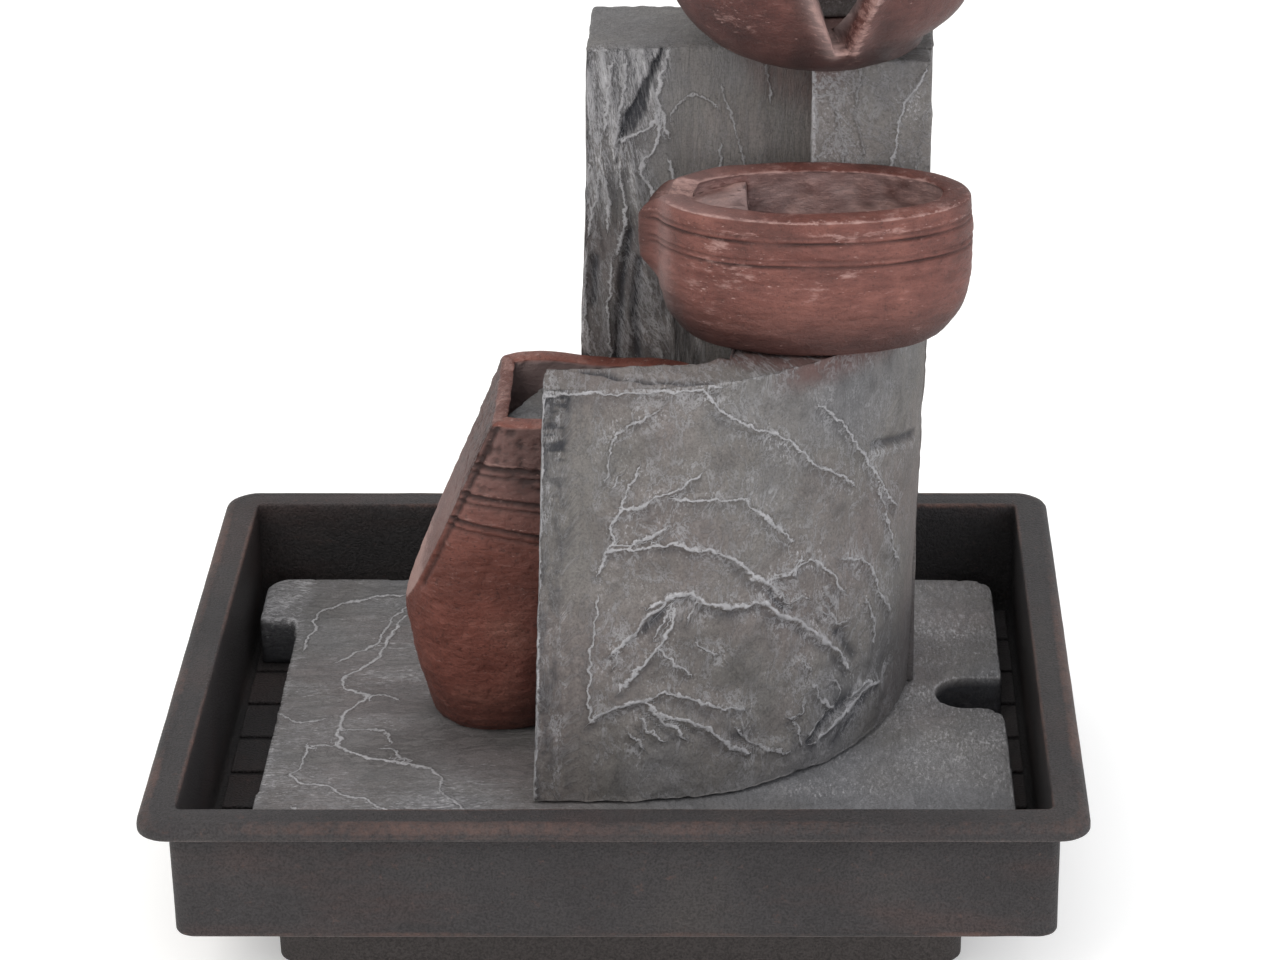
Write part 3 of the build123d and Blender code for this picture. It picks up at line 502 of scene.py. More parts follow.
def slate_finish(name, low_tone, mid_tone, high_tone, thread_share):
    """Polyresin painted as slate: grey clouds with warm, greenish and bluish patches, painted shade in the hollows,
    under ridges and on faces turned from the light, with some dark specks of paint, crinkled veins along the drawn
    lines, and broken threads and grains of dry-brushed white with a few painted highlights among them. The brush
    marks run along the flow that each piece gives its points, and terracotta paint strays onto the stone beside the
    pots."""
    slate = new_finish(name)
    place = add(slate, "TexCoord").outputs["Object"]
    flow = attribute(slate, "flow", "Vector")
    rub_and_highlight, shade, vein, line, stain = (attribute(slate, mark) for mark in ("rub_and_highlight", "shade", "vein", "line", "stain"))
    # Paint clouds 30 mm wide, patches of colour 80 mm wide and resin grain 0.7 mm wide
    clouds = noise(slate, place, 34.0, 6.0, 0.6, 0.3)
    tints = noise(slate, place, 12.5, 3.0, 0.5)
    grit = noise(slate, place, 1400.0, 3.0, 0.7)
    tone = ramp(slate, clouds, (0.32, low_tone), (0.5, mid_tone), (0.68, high_tone))
    hue = ramp(slate, tints, (0.38, "#857974"), (0.5, "#7b7973"), (0.62, "#70757a"))
    speck = ramp(slate, grit, (0.32, "#c4c4c4"), (0.5, "#ececec"), (0.68, "#ffffff"))
    grainy = mixed(slate, 1.0, mixed(slate, 0.4, tone, hue), speck, "MULTIPLY")
    # Threads 8 mm apart, dry-brush marks 2 mm wide and white grains 0.9 mm wide
    crinkle = noise(slate, flow, 120.0, 9.0, 0.7, 0.4)
    scumble = noise(slate, flow, 520.0, 6.0, 0.74)
    grains = noise(slate, flow, 1100.0, 4.0, 0.75)
    off_thread = maths(slate, "ABSOLUTE", maths(slate, "SUBTRACT", crinkle, 0.5))
    thread = ramp(slate, off_thread, (0.0, 1.0), (0.012, 0.7), (0.035, 0.0))
    patch = ramp(slate, scumble, (0.53, 0.0), (0.68, 0.7))
    brushed_and_lit = maths(slate, "MULTIPLY_ADD", thread, thread_share, patch)
    # Dry-brushed white, with painted highlights where the rub marks carry them
    brushed_white_and_highlight = maths(slate, "MULTIPLY", brushed_and_lit, rub_and_highlight, clamp=True)
    flecks = ramp(slate, maths(slate, "MULTIPLY_ADD", rub_and_highlight, 0.31, grains), (0.68, 0.0), (0.86, 0.9))
    # Each vein wanders about 1.5 mm to either side of its drawn line and is 0.3 to 1.2 mm wide
    wander = noise(slate, place, 240.0, 9.0, 0.68)
    apart = maths(slate, "MULTIPLY_ADD", line, 8.0, -4.0)
    stray = maths(slate, "MULTIPLY_ADD", wander, 6.0, -3.0)
    off = maths(slate, "ABSOLUTE", maths(slate, "ADD", apart, stray))
    ratio = maths(slate, "DIVIDE", off, maths(slate, "MULTIPLY_ADD", vein, 1.5, 0.25))
    crest = ramp(slate, ratio, (0.2, 1.0), (0.5, 0.0))
    shoulder = ramp(slate, ratio, (0.0, 1.0), (0.95, 0.0))
    gate = ramp(slate, vein, (0.08, 0.0), (0.3, 1.0))
    whole = ramp(slate, maths(slate, "ADD", vein, scumble), (0.76, 0.1), (1.0, 1.0))
    spine = maths(slate, "MULTIPLY", maths(slate, "MULTIPLY", crest, whole), gate)
    white = maths(slate, "MAXIMUM", spine, maths(slate, "MAXIMUM", flecks, brushed_white_and_highlight))
    uneven = maths(slate, "MULTIPLY_ADD", scumble, 1.1, 0.4)
    # Painted shade, with some dark specks of paint, from the shade marks
    painted_shade_and_specks = maths(slate, "MULTIPLY", shade, uneven, clamp=True)
    spread = maths(slate, "MULTIPLY", stain, uneven, clamp=True)
    strayed = mixed(slate, spread, mixed(slate, painted_shade_and_specks, grainy, "#35363b"), "#5d3a34")
    paint = mixed(slate, maths(slate, "MULTIPLY", white, 0.9), strayed, "#c4c3c6")
    fine = maths(slate, "MULTIPLY_ADD", thread, 0.3, scumble)
    relief = maths(slate, "MULTIPLY_ADD", maths(slate, "MULTIPLY", shoulder, gate), 0.9, fine)
    coated(slate, paint, relief, 0.85, 0.9, 0.7, 0.3)
    return slate


# The slab's slate: a cool mid grey with few threads
slab_finish = slate_finish("painted_polyresin_slate_slab", "#777576", "#888688", "#989698", 0.6)
points, faces, out = blank("base_slab", 1.5)
upper = step_up(points[:, 2], 44.5, 47.5)
outer = np.maximum(upper, step_up(out[:, 2], -0.3, 0.3))
layers = rugged(points * (0.5, 1.0, 1.0), 34.0, 11, 5)
terrace = np.abs((layers * 3.0) % 1.0 - 0.5) * 2
cut = 0.5 + 0.45 * layers + 0.35 * step_up(terrace, 0.75, 1.0)
# The raised veins of the slab as seen from above, each with its strength
slab_veins = [
    (0.8, [(-80.9, 65.5), (-86.2, 51.8), (-89.6, 36.6), (-98.3, 20.1), (-96.6, 15.2), (-90.8, 7.1), (-97.3, -5.6)]),
    (1.0, [(-97.3, -5.6), (-98.4, -21.2), (-94.3, -27.4), (-85.9, -35.8), (-75.2, -36.5), (-68, -40.3), (-62.2, -47)]),
    (0.55, [(-90.8, 7.1), (-79, 6.3)]), (0.55, [(-96.4, -14.3), (-87.8, -15), (-83.2, -15.8), (-79.4, -22.8)]),
    (0.8, [(-111.1, -47), (-104.6, -51.5), (-96.1, -54.4), (-88.7, -60.3), (-83.2, -63.2), (-74, -75)]),
    (0.6, [(-106.6, -26.6), (-106.3, -39.5), (-111.2, -46.3)]), (0.6, [(-106.6, -26.6), (-98.1, -27.4)]),
    (0.6, [(-115.7, 41.6), (-112, 67.3), (-109.7, 72.2), (-101.7, 77.8), (-93.8, 81.3), (-83.3, 83.1)]),
    (0.65, [(-102.8, 33.3), (-96.3, 39.9), (-90.7, 48.4), (-86.8, 58.6), (-82.1, 74.3)]),
    (0.5, [(-82.1, -27.4), (-75.7, -30.5), (-70.7, -35)]), (0.6, [(-119, -6), (-112, -9), (-104, -8)]),
    (0.6, [(-62.2, -47), (-56, -62), (-44, -74)]), (0.55, [(-108, -66), (-100, -74), (-92, -92)]),
]
gap, side, weight = beside(points[:, :2] + 2.2 * sway(points, 7.0, 21), slab_veins)
bitten = step_down(points[:, 0], -116.0, -104.0) * step_down(out[:, 0], -0.8, -0.3)
bitten *= 1.0 + 1.2 * np.round(2.0 * grain(points * (0, 1, 0), 21.0, 23))
raised = weight * bell(gap, 1.6)
points = points + out * ((-cut * 1.1 + 0.9 * raised) * outer - bitten.clip(0, 2.6))[:, None]
points = within_box(points, "base_slab")
x, y, z = points.T
slope = np.abs(out[:, 2])
edges = step_up(slope, 0.25, 0.6) * step_down(slope, 0.8, 0.97)
at_left = step_down(x, -60.0, -20.0)
at_right = step_up(x, 70.0, 80.0)
at_edge = step_down(x, -119.5, -115.5) * upper
rub_and_highlight = 0.22 + 0.36 * grain(points * (0.4, 1, 1), 11.0, 31) + 0.6 * edges * upper
# Painted light: extra white over the right part, where the block casts its shadow
rub_and_highlight += 0.2 * step_down(layers, -0.8, -0.1) * at_left + 0.35 * at_edge + 0.22 * step_up(x, 30.0, 80.0)
rub_and_highlight += 0.1 * step_down(y, -80.0, -60.0)
# Painted shade: no white on the walls of the notch
rub_and_highlight *= 1 - 0.8 * (1 - upper) * at_right
# Painted shadow round the foot of the rock, and painted shade in the hollows of the layers and on the slab's sides,
# deepest in the notch
shadowed = step_down(away(points[:, :2], [(-62, 8), (-30, 10), (10, 28), (95, 30)]), 6.0, 34.0)
shade = 0.18 * at_left + 0.08 * shadowed + 0.3 * step_up(layers, 0.2, 0.9) + (1 - upper) * (0.55 + 0.4 * at_right)
# The brush marks run along the width at the left and along the depth at the right
turned = step_up(x, -20.0, 40.0)[:, None]
flow = points * ((1 - turned) * (0.4, 1.1, 1.0) + turned * (1.1, 0.4, 1.0))
vein = weight * near_line(gap) * upper
marks = {"rub_and_highlight": rub_and_highlight, "shade": shade, "vein": vein, "line": drawn_line(side), "flow": flow}
slab = cast("slate_base_slab", points, faces, slab_finish, marks)
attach(slab, "rockery")
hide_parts("base_slab")


# The tall column at the back, cast hollow so that the hose runs up inside it. Its left part is torn like split
# slate, with long dark hollows and white-brushed ridges, and its right part is smoother with fine upright cracks.
def worn_block(size, counts, chips):
    """The outside of a six-sided block as steps along its width, depth and height, and its quads. Each count is a
    number of points along one way, or the points themselves. The chips give the radius of the edges at each point."""
    us, vs, ws = (np.linspace(0, whole, n) if isinstance(n, int) else n for whole, n in zip(size, counts))
    index = np.indices((len(us), len(vs), len(ws)))
    last = np.array(index.shape[1:])[:, None, None, None] - 1
    outside = ((index == 0) | (index == last)).any(0)
    number = np.full(outside.shape, -1)
    number[outside] = np.arange(outside.sum())
    i, j, k = index[:, outside]
    steps = np.stack([us[i], vs[j], ws[k]], 1)
    quads = []
    for sheet, turn in (
        (number[:, 0], 1), (number[:, -1], -1), (number[0], -1), (number[-1], 1),
        (number[:, :, 0], -1), (number[:, :, -1], 1),
    ):
        face = np.stack([sheet[:-1, :-1], sheet[1:, :-1], sheet[1:, 1:], sheet[:-1, 1:]], -1).reshape(-1, 4)
        quads.append(face[:, ::turn])
    radius = chips(steps)[:, None]
    core = np.clip(steps, radius, size - radius)
    beyond = steps - core
    steps = core + beyond * np.minimum(1, radius / np.maximum(length(beyond), 1e-9)[:, None])
    return steps, np.vstack(quads)


column_top = 280.0
# The column's slate: a warmer grey with many white threads
column_finish = slate_finish("painted_polyresin_slate_column", "#7a7473", "#8a8584", "#979391", 1.35)
size = (115.0, 41.0, 231.0)
finer_at_left = np.concatenate([np.linspace(0, 48, 82), np.linspace(48, size[0], 48)[1:]])
steps, quads = worn_block(
    size, (finer_at_left, 20, 230),
    lambda steps: np.clip(1.7 + 1.1 * grain(steps, 9.0, 41) + 0.9 * grain(steps, 3.0, 42), 0.5, 3.6),
)
rise = steps[:, 2] / size[2]
left = -19.0 + 8.5 * rise
right = 98.6 + 3.4 * rise
depth = 42.0 - 2.0 * rise
x = left + (right - left) * steps[:, 0] / size[0]
y = 20.0 + depth * steps[:, 1] / size[1]
z = slab_top + steps[:, 2]
points = np.stack([x, y, z], 1)
wall = points[:, [0, 2]]
out = outward(points, quads)
front = step_up(-out[:, 1], 0.5, 0.9)
top = step_up(out[:, 2], 0.5, 0.8)
fan = np.interp(x, (-19, -8, 16, 24), (0.05, 0.1, 0.2, -0.05))
drawn = np.stack([x - fan * (column_top - z), y, 0.2 * z], 1)
torn = np.interp(z, (49, 120, 180, 227, 245, 262, 280), (20, 24, 26, 15, 11.7, 13.5, 17))
torn = step_up(torn + 4 * grain(drawn, 5.0, 43) - x, -1.5, 4.0)
bark = rugged(drawn * (1.0, 0.4, 0.8), 2.6, 44, 3)
swell = rugged(points, 46.0, 45, 4)
# The wide hollow at the upper left lies between these two lines, and narrower ones run below it
right_of = np.interp(z, (240, 248.4, 251.5, 256.6, 264.9, 274, 279), (-0.8, 0.9, 5.6, 8.6, 9.9, 13.7, 15))
left_of = np.interp(z, (239, 247, 255.6, 260.8, 266.9, 273, 279), (-1.8, -0.2, 1.8, 4.8, 7.8, 10.8, 13.8))
ragged = 0.7 * grain(drawn, 2.0, 49)
hollow = step_up(right_of + ragged - x, -0.5, 1.0) * step_up(x - left_of - ragged, -0.6, 0.6) * (z > 239)
# The wide hollow is darkest along its left edge, as painted shade under its left wall
streaks = hollow * (0.7 + 0.3 * step_up(left_of + 2.6 - x, 0.0, 1.6))
for line in ([(-8.5, 206), (-8.7, 196), (-9.3, 190)], [(3, 215), (0, 196), (-2, 170)], [(6, 205), (4, 186), (5, 170)]):
    streaks = np.maximum(streaks, 0.6 * bell(away(wall, line), 1.5))
# The cracks and ridges of the column as seen from the front, each with its strength
column_veins = [
    (0.8, [(16.6, 278.2), (15.4, 274.1), (13.6, 269), (12.5, 261.8), (14.4, 255.6), (15.8, 250.4)]),
    (0.75, [(13.5, 258.7), (12, 254.6), (8.5, 251.5), (4.6, 249.4), (0.6, 247.3)]),
    (0.75, [(12.5, 255.6), (13.4, 251.5), (11.8, 245.2), (7.9, 241.1), (7.3, 235.8), (10.1, 229.5), (11.1, 226.4)]),
    (0.65, [(16.2, 240), (17.6, 233.7), (19, 230.6), (19.5, 222)]),
    (0.65, [(-6.4, 236.9), (-7, 231.6), (-9.1, 223.2), (-10.8, 214.7)]),
    (0.65, [(0, 235.8), (1.3, 227.4), (1.6, 219), (-1, 208.3)]), (0.6, [(-4.5, 233.7), (-3.7, 225.3), (-4.3, 216.8)]),
    (0.65, [(-10.3, 239), (-11, 227.4), (-12.2, 219)]),
    (0.42, [(17.3, 256.6), (19.3, 260.8), (25.2, 263.9), (29, 261.8), (31, 259.7)]),
    (0.5, [(32.8, 246), (32.8, 239), (31, 234)]), (0.65, [(-1.8, 274.1), (-2.9, 266.9), (-4, 258.7), (-4.6, 251.5)]),
    (0.65, [(2.6, 274.1), (1.9, 264.9), (-0.2, 254.6), (-1.3, 246.3)]),
    (0.6, [(27.9, 235.8), (26.9, 233.7), (24.9, 230.6)]), (0.6, [(-9.5, 272), (-10.5, 262), (-9, 250)]),
    (0.42, [(33.5, 266), (38, 252), (41, 238)]), (0.4, [(47, 279), (49.5, 262)]),
    (0.55, [(-12, 206), (-12.6, 190), (-11, 172)]), (0.55, [(-3, 204), (-5, 186), (-4, 168)]),
]
gap, side, weight = beside(wall, column_veins)
cracks = weight * bell(gap, 1.6)
cut = 0.5 + 0.5 * swell + front * torn * (0.8 - 0.95 * bark) + front * (2.5 * streaks - 0.7 * cracks)
cut += (1 - front) * (0.35 + 0.5 * rugged(drawn, 8.0, 47, 3))
cut = np.clip(cut, 0.0, 4.2) + front * 0.9 * step_up(x, 47.5, 49.5) - 0.9 * top
points = points - out * cut[:, None]
points[:, 2] = np.clip(points[:, 2], slab_top, column_top + 0.6)
ridge = step_up(bark, 0.0, 0.8)
facing = np.abs(out[:, 1])
edge = step_up(facing, 0.15, 0.5) * step_down(facing, 0.8, 0.96)
fibres = 0.2 + 0.3 * step_up(z, 226.0, 246.0) + 0.35 * ridge
rub_and_highlight = 0.14 + front * torn * fibres * (1 - 0.75 * hollow) + 0.25 * (1 - front) * (1 - top)
rub_and_highlight += 0.3 * edge * step_down(x, -5.0, 25.0) + 0.1 * top + 0.12 * step_down(x, -16.0, -6.0) * front
# Painted shade in the hollows and dark streaks, in the furrows between the torn ridges and on the sides
shade = front * (0.95 * streaks + torn * (0.4 - 0.38 * ridge)) + 0.08 * (1 - front) * (1 - top)
shade += 0.4 * front * torn * step_up(z, 254.0, 270.0) * step_up(grain(points, 1.8, 57), 0.0, 0.5)
under_bowl = length(points - (64.5, 18.5, 284.0))
column = cast(
    "slate_column", points, [quads], column_finish,
    {
        "rub_and_highlight": rub_and_highlight, "shade": shade, "vein": weight * near_line(gap) * front, "line": drawn_line(side),
        "flow": drawn * (2.0, 2.0, 1.8), "stain": 0.4 * step_down(under_bowl, 20.0, 30.0),
    },
)


def prism(name, low, high):
    """A closed prism between two outlines in millimetres, to cut with."""
    n = len(low)
    sides = [(k, (k + 1) % n, (k + 1) % n + n, k + n) for k in range(n)]
    mesh = bpy.data.meshes.new(name)
    mesh.from_pydata((np.array([*low, *high]) / 1000).tolist(), [], [range(n)[::-1], range(n, 2 * n), *sides])
    return placed(name, mesh)


# The room for the hose, and the round hole that it leaves the column by
ring = [(62.0 + 5.3 * math.cos(a), 30.6 + 5.3 * math.sin(a)) for a in np.linspace(0, 2 * math.pi, 33)[:-1]]
tools = [
    prism(
        "room", [(-14, 25, 48), (93.6, 25, 48), (93.6, 57, 48), (-14, 57, 48)],
        [(-5.8, 25, 272), (96.8, 25, 272), (96.8, 55, 272), (-5.8, 55, 272)],
    ),
    prism("drill", [(*place, 260.0) for place in ring], [(*place, 290.0) for place in ring]),
]
for tool in tools:
    carve = column.modifiers.new("carve", "BOOLEAN")
    carve.operation = "DIFFERENCE"
    carve.solver = "EXACT"
    carve.object = tool
carved = made(column)
column.modifiers.clear()
column.data = carved
for tool in tools:
    bpy.data.objects.remove(tool)
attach(column, "rockery")
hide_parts("rear_column")


# The small upright block at the right of the column, cast with the rockery, on which the top bowl also rests. Its
# left edge is brushed almost white, and a raised vein runs slantwise over its face.
block_top = 199.0
steps, quads = worn_block(
    (39.4, 13.0, 81.0), (62, 18, 116), lambda steps: np.clip(1.3 + 0.8 * grain(steps, 7.0, 51), 0.4, 2.4)
)
points = steps + (61.8, 7.0, block_top)
out = outward(points, quads)
wall = points[:, [0, 2]]
x, z = wall.T
front = step_up(-out[:, 1], 0.5, 0.9)
mottle = rugged(points, 13.0, 52, 5)
side_veins = [
    (0.6, [(98.5, 276), (92.2, 265), (90, 256), (88.8, 247), (86, 232)]), (0.4, [(70, 262), (73, 250), (71, 238)]),
    (0.35, [(78, 272), (76, 262), (79, 250), (77, 236)]), (0.3, [(97, 250), (95, 240), (97, 228)]),
]
gap, side, weight = beside(wall, side_veins)
slant = weight * bell(gap, 1.6)
points = points - out * np.clip(0.45 + 0.55 * mottle - 0.9 * slant * front, -0.15, 1.6)[:, None]
left_edge = step_down(x, 62.6, 64.2) * step_down(out[:, 1], -0.4, 0.1)
flour = bell(length((wall - (95.0, 264.0)) * (1.0, 0.6)), 4.0)
scratched = step_down(x, 70.0, 84.0) * step_up(z, 236.0, 250.0)
flow = np.stack([points[:, 0] + 0.3 * points[:, 2], points[:, 1], 0.8 * points[:, 2]], 1)
under_bowl = length(points - (64.5, 12.0, 284.0))
side_block = cast(
    "slate_side_block", points, [quads], column_finish,
    {
        "rub_and_highlight": 0.24 + 0.75 * left_edge + 0.4 * flour + 0.26 * scratched + 0.15 * step_up(mottle, 0.1, 0.8),
        "shade": 0.05 + 0.16 * step_down(mottle, -1.0, -0.2), "vein": weight * near_line(gap) * front,
        "line": drawn_line(side), "flow": flow, "stain": 0.6 * step_down(under_bowl, 6.0, 18.0),
    },
)
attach(side_block, "rockery")
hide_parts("side_block")


# The large curved block in front, which carries the middle bowl. Its face is flat at the left and then sweeps back
# in an arc. Raised veins branch over it like split rock and are brushed white, and the left margin is torn.
# The block's slate: darker and browner than the column's
block_finish = slate_finish("painted_polyresin_slate_block", "#716d6b", "#817c7a", "#8f8a88", 1.35)
size = (172.0, 18.0, 150.0)
steps, quads = worn_block(
    size, (222, 14, 190),
    lambda steps: np.clip(1.1 + 0.8 * grain(steps, 8.0, 61) + 0.5 * grain(steps, 2.5, 62), 0.35, 2.6),
)
along, inward, up = steps.T
around = along / size[0]
rise = up / size[2]
flat_share = 0.17
flat = around < flat_share
flat_x = (-29.4 + 7.2 * rise) * (1 - around / flat_share)
sweep = np.radians(-90 + np.clip((around - flat_share) / (1 - flat_share), 0, 1) * 82.2)
face_x = np.where(flat, flat_x, (98.6 + 5.0 * rise) * np.cos(sweep))
face_y = np.where(flat, -66.4, 33.0 + 99.4 * np.sin(sweep))
turns = (flat_share, 0.38, 0.55, 1.0)
back_x = np.where(flat, flat_x, np.interp(around, turns, (0.0, 36.0, 36.0, 98.5)))
back_y = np.interp(around, turns, (-48.4, -41.6, 19.8, 19.8))
run = np.stack([back_x - face_x, back_y - face_y], 1)
far = np.maximum(length(run), 1e-6)
near_face = 7.0
stretched = near_face + (inward - near_face) / (size[1] - near_face) * np.maximum(far - near_face, 0.1)
deep = np.minimum(np.where(inward < near_face, inward, stretched), far)
points = np.stack([face_x + run[:, 0] / far * deep, face_y + run[:, 1] / far * deep, slab_top + up], 1)
out = outward(points, quads)
wall = np.stack([along, points[:, 2]], 1)
z = wall[:, 1]
front = step_up(-out[:, 1] + 0.6 * step_up(out[:, 0], 0.2, 0.9), 0.35, 0.8) * step_down(inward, 1.5, 4.0)
top = step_up(out[:, 2], 0.6, 0.9)
# The raised veins of the block, each with its strength, by how far along the face and how high they lie
block_veins = [
    (0.75, [(22.9, 134.9), (25.6, 142.2), (36.9, 142.9), (48, 144.4), (52.7, 141.4), (59.5, 140.2), (65, 137.4)]),
    (0.9, [(65, 137.4), (69.6, 132.9), (73.1, 128.1), (77.5, 126.1), (81.2, 122.4), (83.9, 117.9)]),
    (0.6, [(28.3, 144.7), (28.3, 151.7), (31.7, 156.4), (37.2, 157.7), (41.8, 160.4), (48, 161.9), (55.9, 166.9)]),
    (0.5, [(37.4, 171.5), (34.2, 165.4), (31.7, 156.4)]),
    (0.6, [(48, 159.4), (70.4, 156.2), (77.3, 149.4), (82.7, 143.4), (87.4, 137.9)]),
    (0.6, [(57.6, 197.2), (59.5, 192.2), (63.5, 187.2), (70.1, 182.5), (75.1, 179.7), (81.9, 177.2), (86.9, 171.5)]),
    (0.6, [(86.9, 171.5), (92.5, 166.7), (97.4, 160.9), (106.3, 155.7), (113.4, 149.2)]),
    (0.55, [(97.7, 182.7), (106.8, 174.2), (112.5, 165.7), (120.8, 156.2), (127.2, 145.7), (139.8, 131.1)]),
    (0.5, [(127.2, 144.9), (134.8, 127.9), (139.8, 116.4), (145.7, 108.1)]),
    (1.15, [(41.3, 122.4), (45.5, 125.4), (52.7, 125.6), (57.3, 121.9), (62.3, 119.9), (71.9, 117.4)]),
    (1.1, [(71.9, 117.4), (74.3, 118.6), (79.7, 116.1), (85.1, 110.4), (91, 107.1), (97.4, 101.3), (104.1, 95.3)]),
    (0.9, [(104.1, 95.3), (110, 88.1), (114.4, 81.8)]),
    (0.9, [(46.3, 124.1), (39.9, 119.1), (36.7, 115.1), (32.7, 110.4), (27.6, 105.1)]),
    (0.85, [(48, 119.6), (46, 112.6), (43.6, 107.1), (36.4, 100.1), (30.5, 92.3)]),
    (0.6, [(42.8, 106.3), (46.8, 101.6), (52.4, 96.3)]),
    (0.9, [(19.7, 79.6), (23.1, 83.3), (31.5, 86.6), (37.9, 87.3), (42.6, 82.6), (52.4, 78.8), (59.8, 74.8)]),
    (0.8, [(59.8, 74.8), (65.2, 68), (73.1, 63)]),
    (0.6, [(37.9, 88.3), (44.3, 90.1), (52.4, 87.8), (59.1, 83.6), (71.1, 80.3)]),
    (0.55, [(110, 123.4), (117.4, 121.1), (125, 114.4), (128.7, 106.3), (133.9, 99.6), (139.8, 92.1)]),
    (0.9, [(133.1, 67.8), (123.5, 68.3), (115.4, 65), (105.6, 61.5), (98.9, 59.5)]),
    (0.6, [(19.7, 79.6), (18.9, 92.3), (20.4, 106.8), (22.9, 124.9)]),
    (0.5, [(69.4, 72.8), (73.1, 67.5), (78.7, 63), (88.3, 59.3)]),
    (0.45, [(26.1, 167.4), (29, 181.2), (35.9, 186.2), (43.6, 191)]),
    (0.6, [(79.5, 125.6), (86.9, 125.4), (95.2, 128.4), (103.1, 122.1), (110.5, 112.1)]),
    (0.6, [(47.2, 121.9), (45.3, 119.1), (43.1, 115.1), (41.6, 110.9)]), (0.45, [(29, 164.9), (31.5, 168.4)]),
    (0.5, [(37.2, 80.6), (39.1, 76), (40.4, 76.3), (42.6, 73.8), (44, 73)]),
    (0.5, [(33.5, 75.3), (35.4, 73), (37.2, 70.3)]),
    (0.7, [(39.1, 84.3), (42.6, 80.6), (45, 79.1), (48.5, 76.8), (50.9, 73)]), (0.5, [(93.5, 91.6), (96.7, 87.6)]),
    (0.45, [(52.2, 124.9), (53.9, 121.1), (53.4, 118.1), (52.2, 115.6)]), (0.5, [(83.2, 120.9), (85.9, 116.1)]),
    (0.8, [(130.4, 68.8), (124.8, 70.8), (119.8, 70.3), (116.1, 69.8)]), (0.45, [(102.6, 113.9), (106.3, 108.6)]),
    (0.6, [(98.2, 81.1), (100.1, 77), (103.1, 73.3), (107.3, 69.5)]),
    (0.45, [(107.5, 79.3), (111.2, 75), (109.5, 72)]),
    (0.65, [(102.6, 68.5), (99.9, 66.3), (97.4, 63.3)]), (0.5, [(89.6, 72.3), (93.5, 71.8), (94.7, 77)]),
    (0.5, [(90.8, 69.3), (92.8, 65.5), (94, 60.8)]), (0.45, [(81.2, 63), (85.1, 61.5), (88.6, 60)]),
    (0.55, [(81.9, 126.4), (85.1, 126.1), (89.1, 124.4), (90.6, 127.4), (91.5, 129.6)]),
    (0.6, [(33.7, 142.4), (40.4, 143.7)]), (0.45, [(88.1, 115.1), (91.3, 115.6), (94.5, 114.6)]),
    (0.5, [(123, 103.3), (126.5, 96.8), (129.4, 92.1), (129.9, 84.8)]),
    (0.45, [(101.1, 106.8), (106.5, 103.8), (108.5, 100.8), (112.5, 100.1)]),
    (0.5, [(32.7, 110.4), (29.5, 105.1), (27.8, 100.3)]),
    (0.65, [(27.1, 143.4), (31, 143.9), (37.4, 145.9), (41.3, 146.9), (45, 148.9)]),
    (0.45, [(54.9, 108.6), (57.1, 104.8), (60.8, 102.3)]),
    (1.1, [(1.1, 52), (0.9, 120), (1.2, 196)]), (0.6, [(1.2, 196), (40, 197.4), (62, 196.9)]),
]
# Short deep hollows right beside the strongest veins
deep_lines = [
    [(44.3, 120.1), (41.3, 116.6), (38.6, 113.1)], [(108.8, 96.8), (112.5, 91.3), (117.9, 84.8)],
    [(81.7, 119.4), (83.7, 115.9), (85.6, 111.9)], [(117.1, 70.8), (112.5, 69.3), (104.3, 66.5), (97.4, 60)],
    [(125.5, 64.5), (115.7, 59.3), (108.3, 54.8)],
]
shaken = wall + 0.5 * (1.3 * sway(points, 5.0, 63) + 0.7 * sway(points, 1.9, 65))
gap, side, weight = beside(shaken, block_veins)
raised = weight * bell(gap, 1.5)
fall = bell(gap, 6.0)
below_gap, _, below_weight = beside(shaken + (0.8, 2.6), block_veins)
below = below_weight * bell(below_gap, 1.6)
sunk = np.max([bell(away(shaken, line), 2.2) for line in deep_lines], axis=0) * front
crumb = rugged(points, 5.5, 68, 4)
veined = step_up(along, 17.0, 24.0) * step_down(along, 140.0, 158.0)
torn = step_down(along + 2.0 * grain(points * (1, 1, 0.2), 5.0, 69), 9.0, 15.0) * front
bark = rugged(points * (1.0, 1.0, 0.3), 3.4, 70, 3)
ledge_gap = bell(away(wall, [(124, 159.3), (140, 155), (156, 150.2)]), 1.5)
ledge_lip = bell(away(wall, [(124, 156.3), (140, 151.8), (156, 147)]), 1.7)
split = bell(away(points[:, :2], [(-9, -51), (-3, -52), (3, -57), (15, -59.5), (30, -60)]), 1.5)
cut = 1.0 + 0.45 * rugged(points, 38.0, 67, 4) + 0.5 * crumb * veined
cut -= front * (0.85 * raised + 0.2 * fall - 0.6 * below)
cut += torn * (0.55 + 0.8 * bark) + front * (1.6 * ledge_gap - 0.6 * ledge_lip) + 0.8 * sunk * (1 - raised)
cut += top * (1.3 * split + 0.3 * crumb)
points = points - out * np.clip(cut, 0.0, 3.4)[:, None]
points[:, 2] = np.clip(points[:, 2], slab_top, block_top)
left_margin = bell(along, 1.2) * step_down(out[:, 1], -0.3, 0.2)
corner = bell(length((wall - (1.0, 196.0)) * 0.5), 2.6)
top_margin = bell(z - 198.0, 1.6) * step_down(along, 70.0, 110.0) * front
lower_right = step_up(along, 122.0, 140.0) * step_down(z, 74.0, 98.0)
under = bell(away(wall, [(74, 71), (68, 72)]), 3.0)
upper_left = bell(length((wall - (8.0, 183.0)) * (1.0, 0.45)), 6.0)
facing = np.maximum(front, step_down(along, 2.5, 4.0) * step_down(out[:, 1], -0.2, 0.3))
patchy = step_up(grain(points, 17.0, 75), -0.2, 0.6)
speckle = step_up(grain(points * (0.6, 1.0, 1.5), 1.9, 76), -0.05, 0.3) * torn * (1 - left_margin)
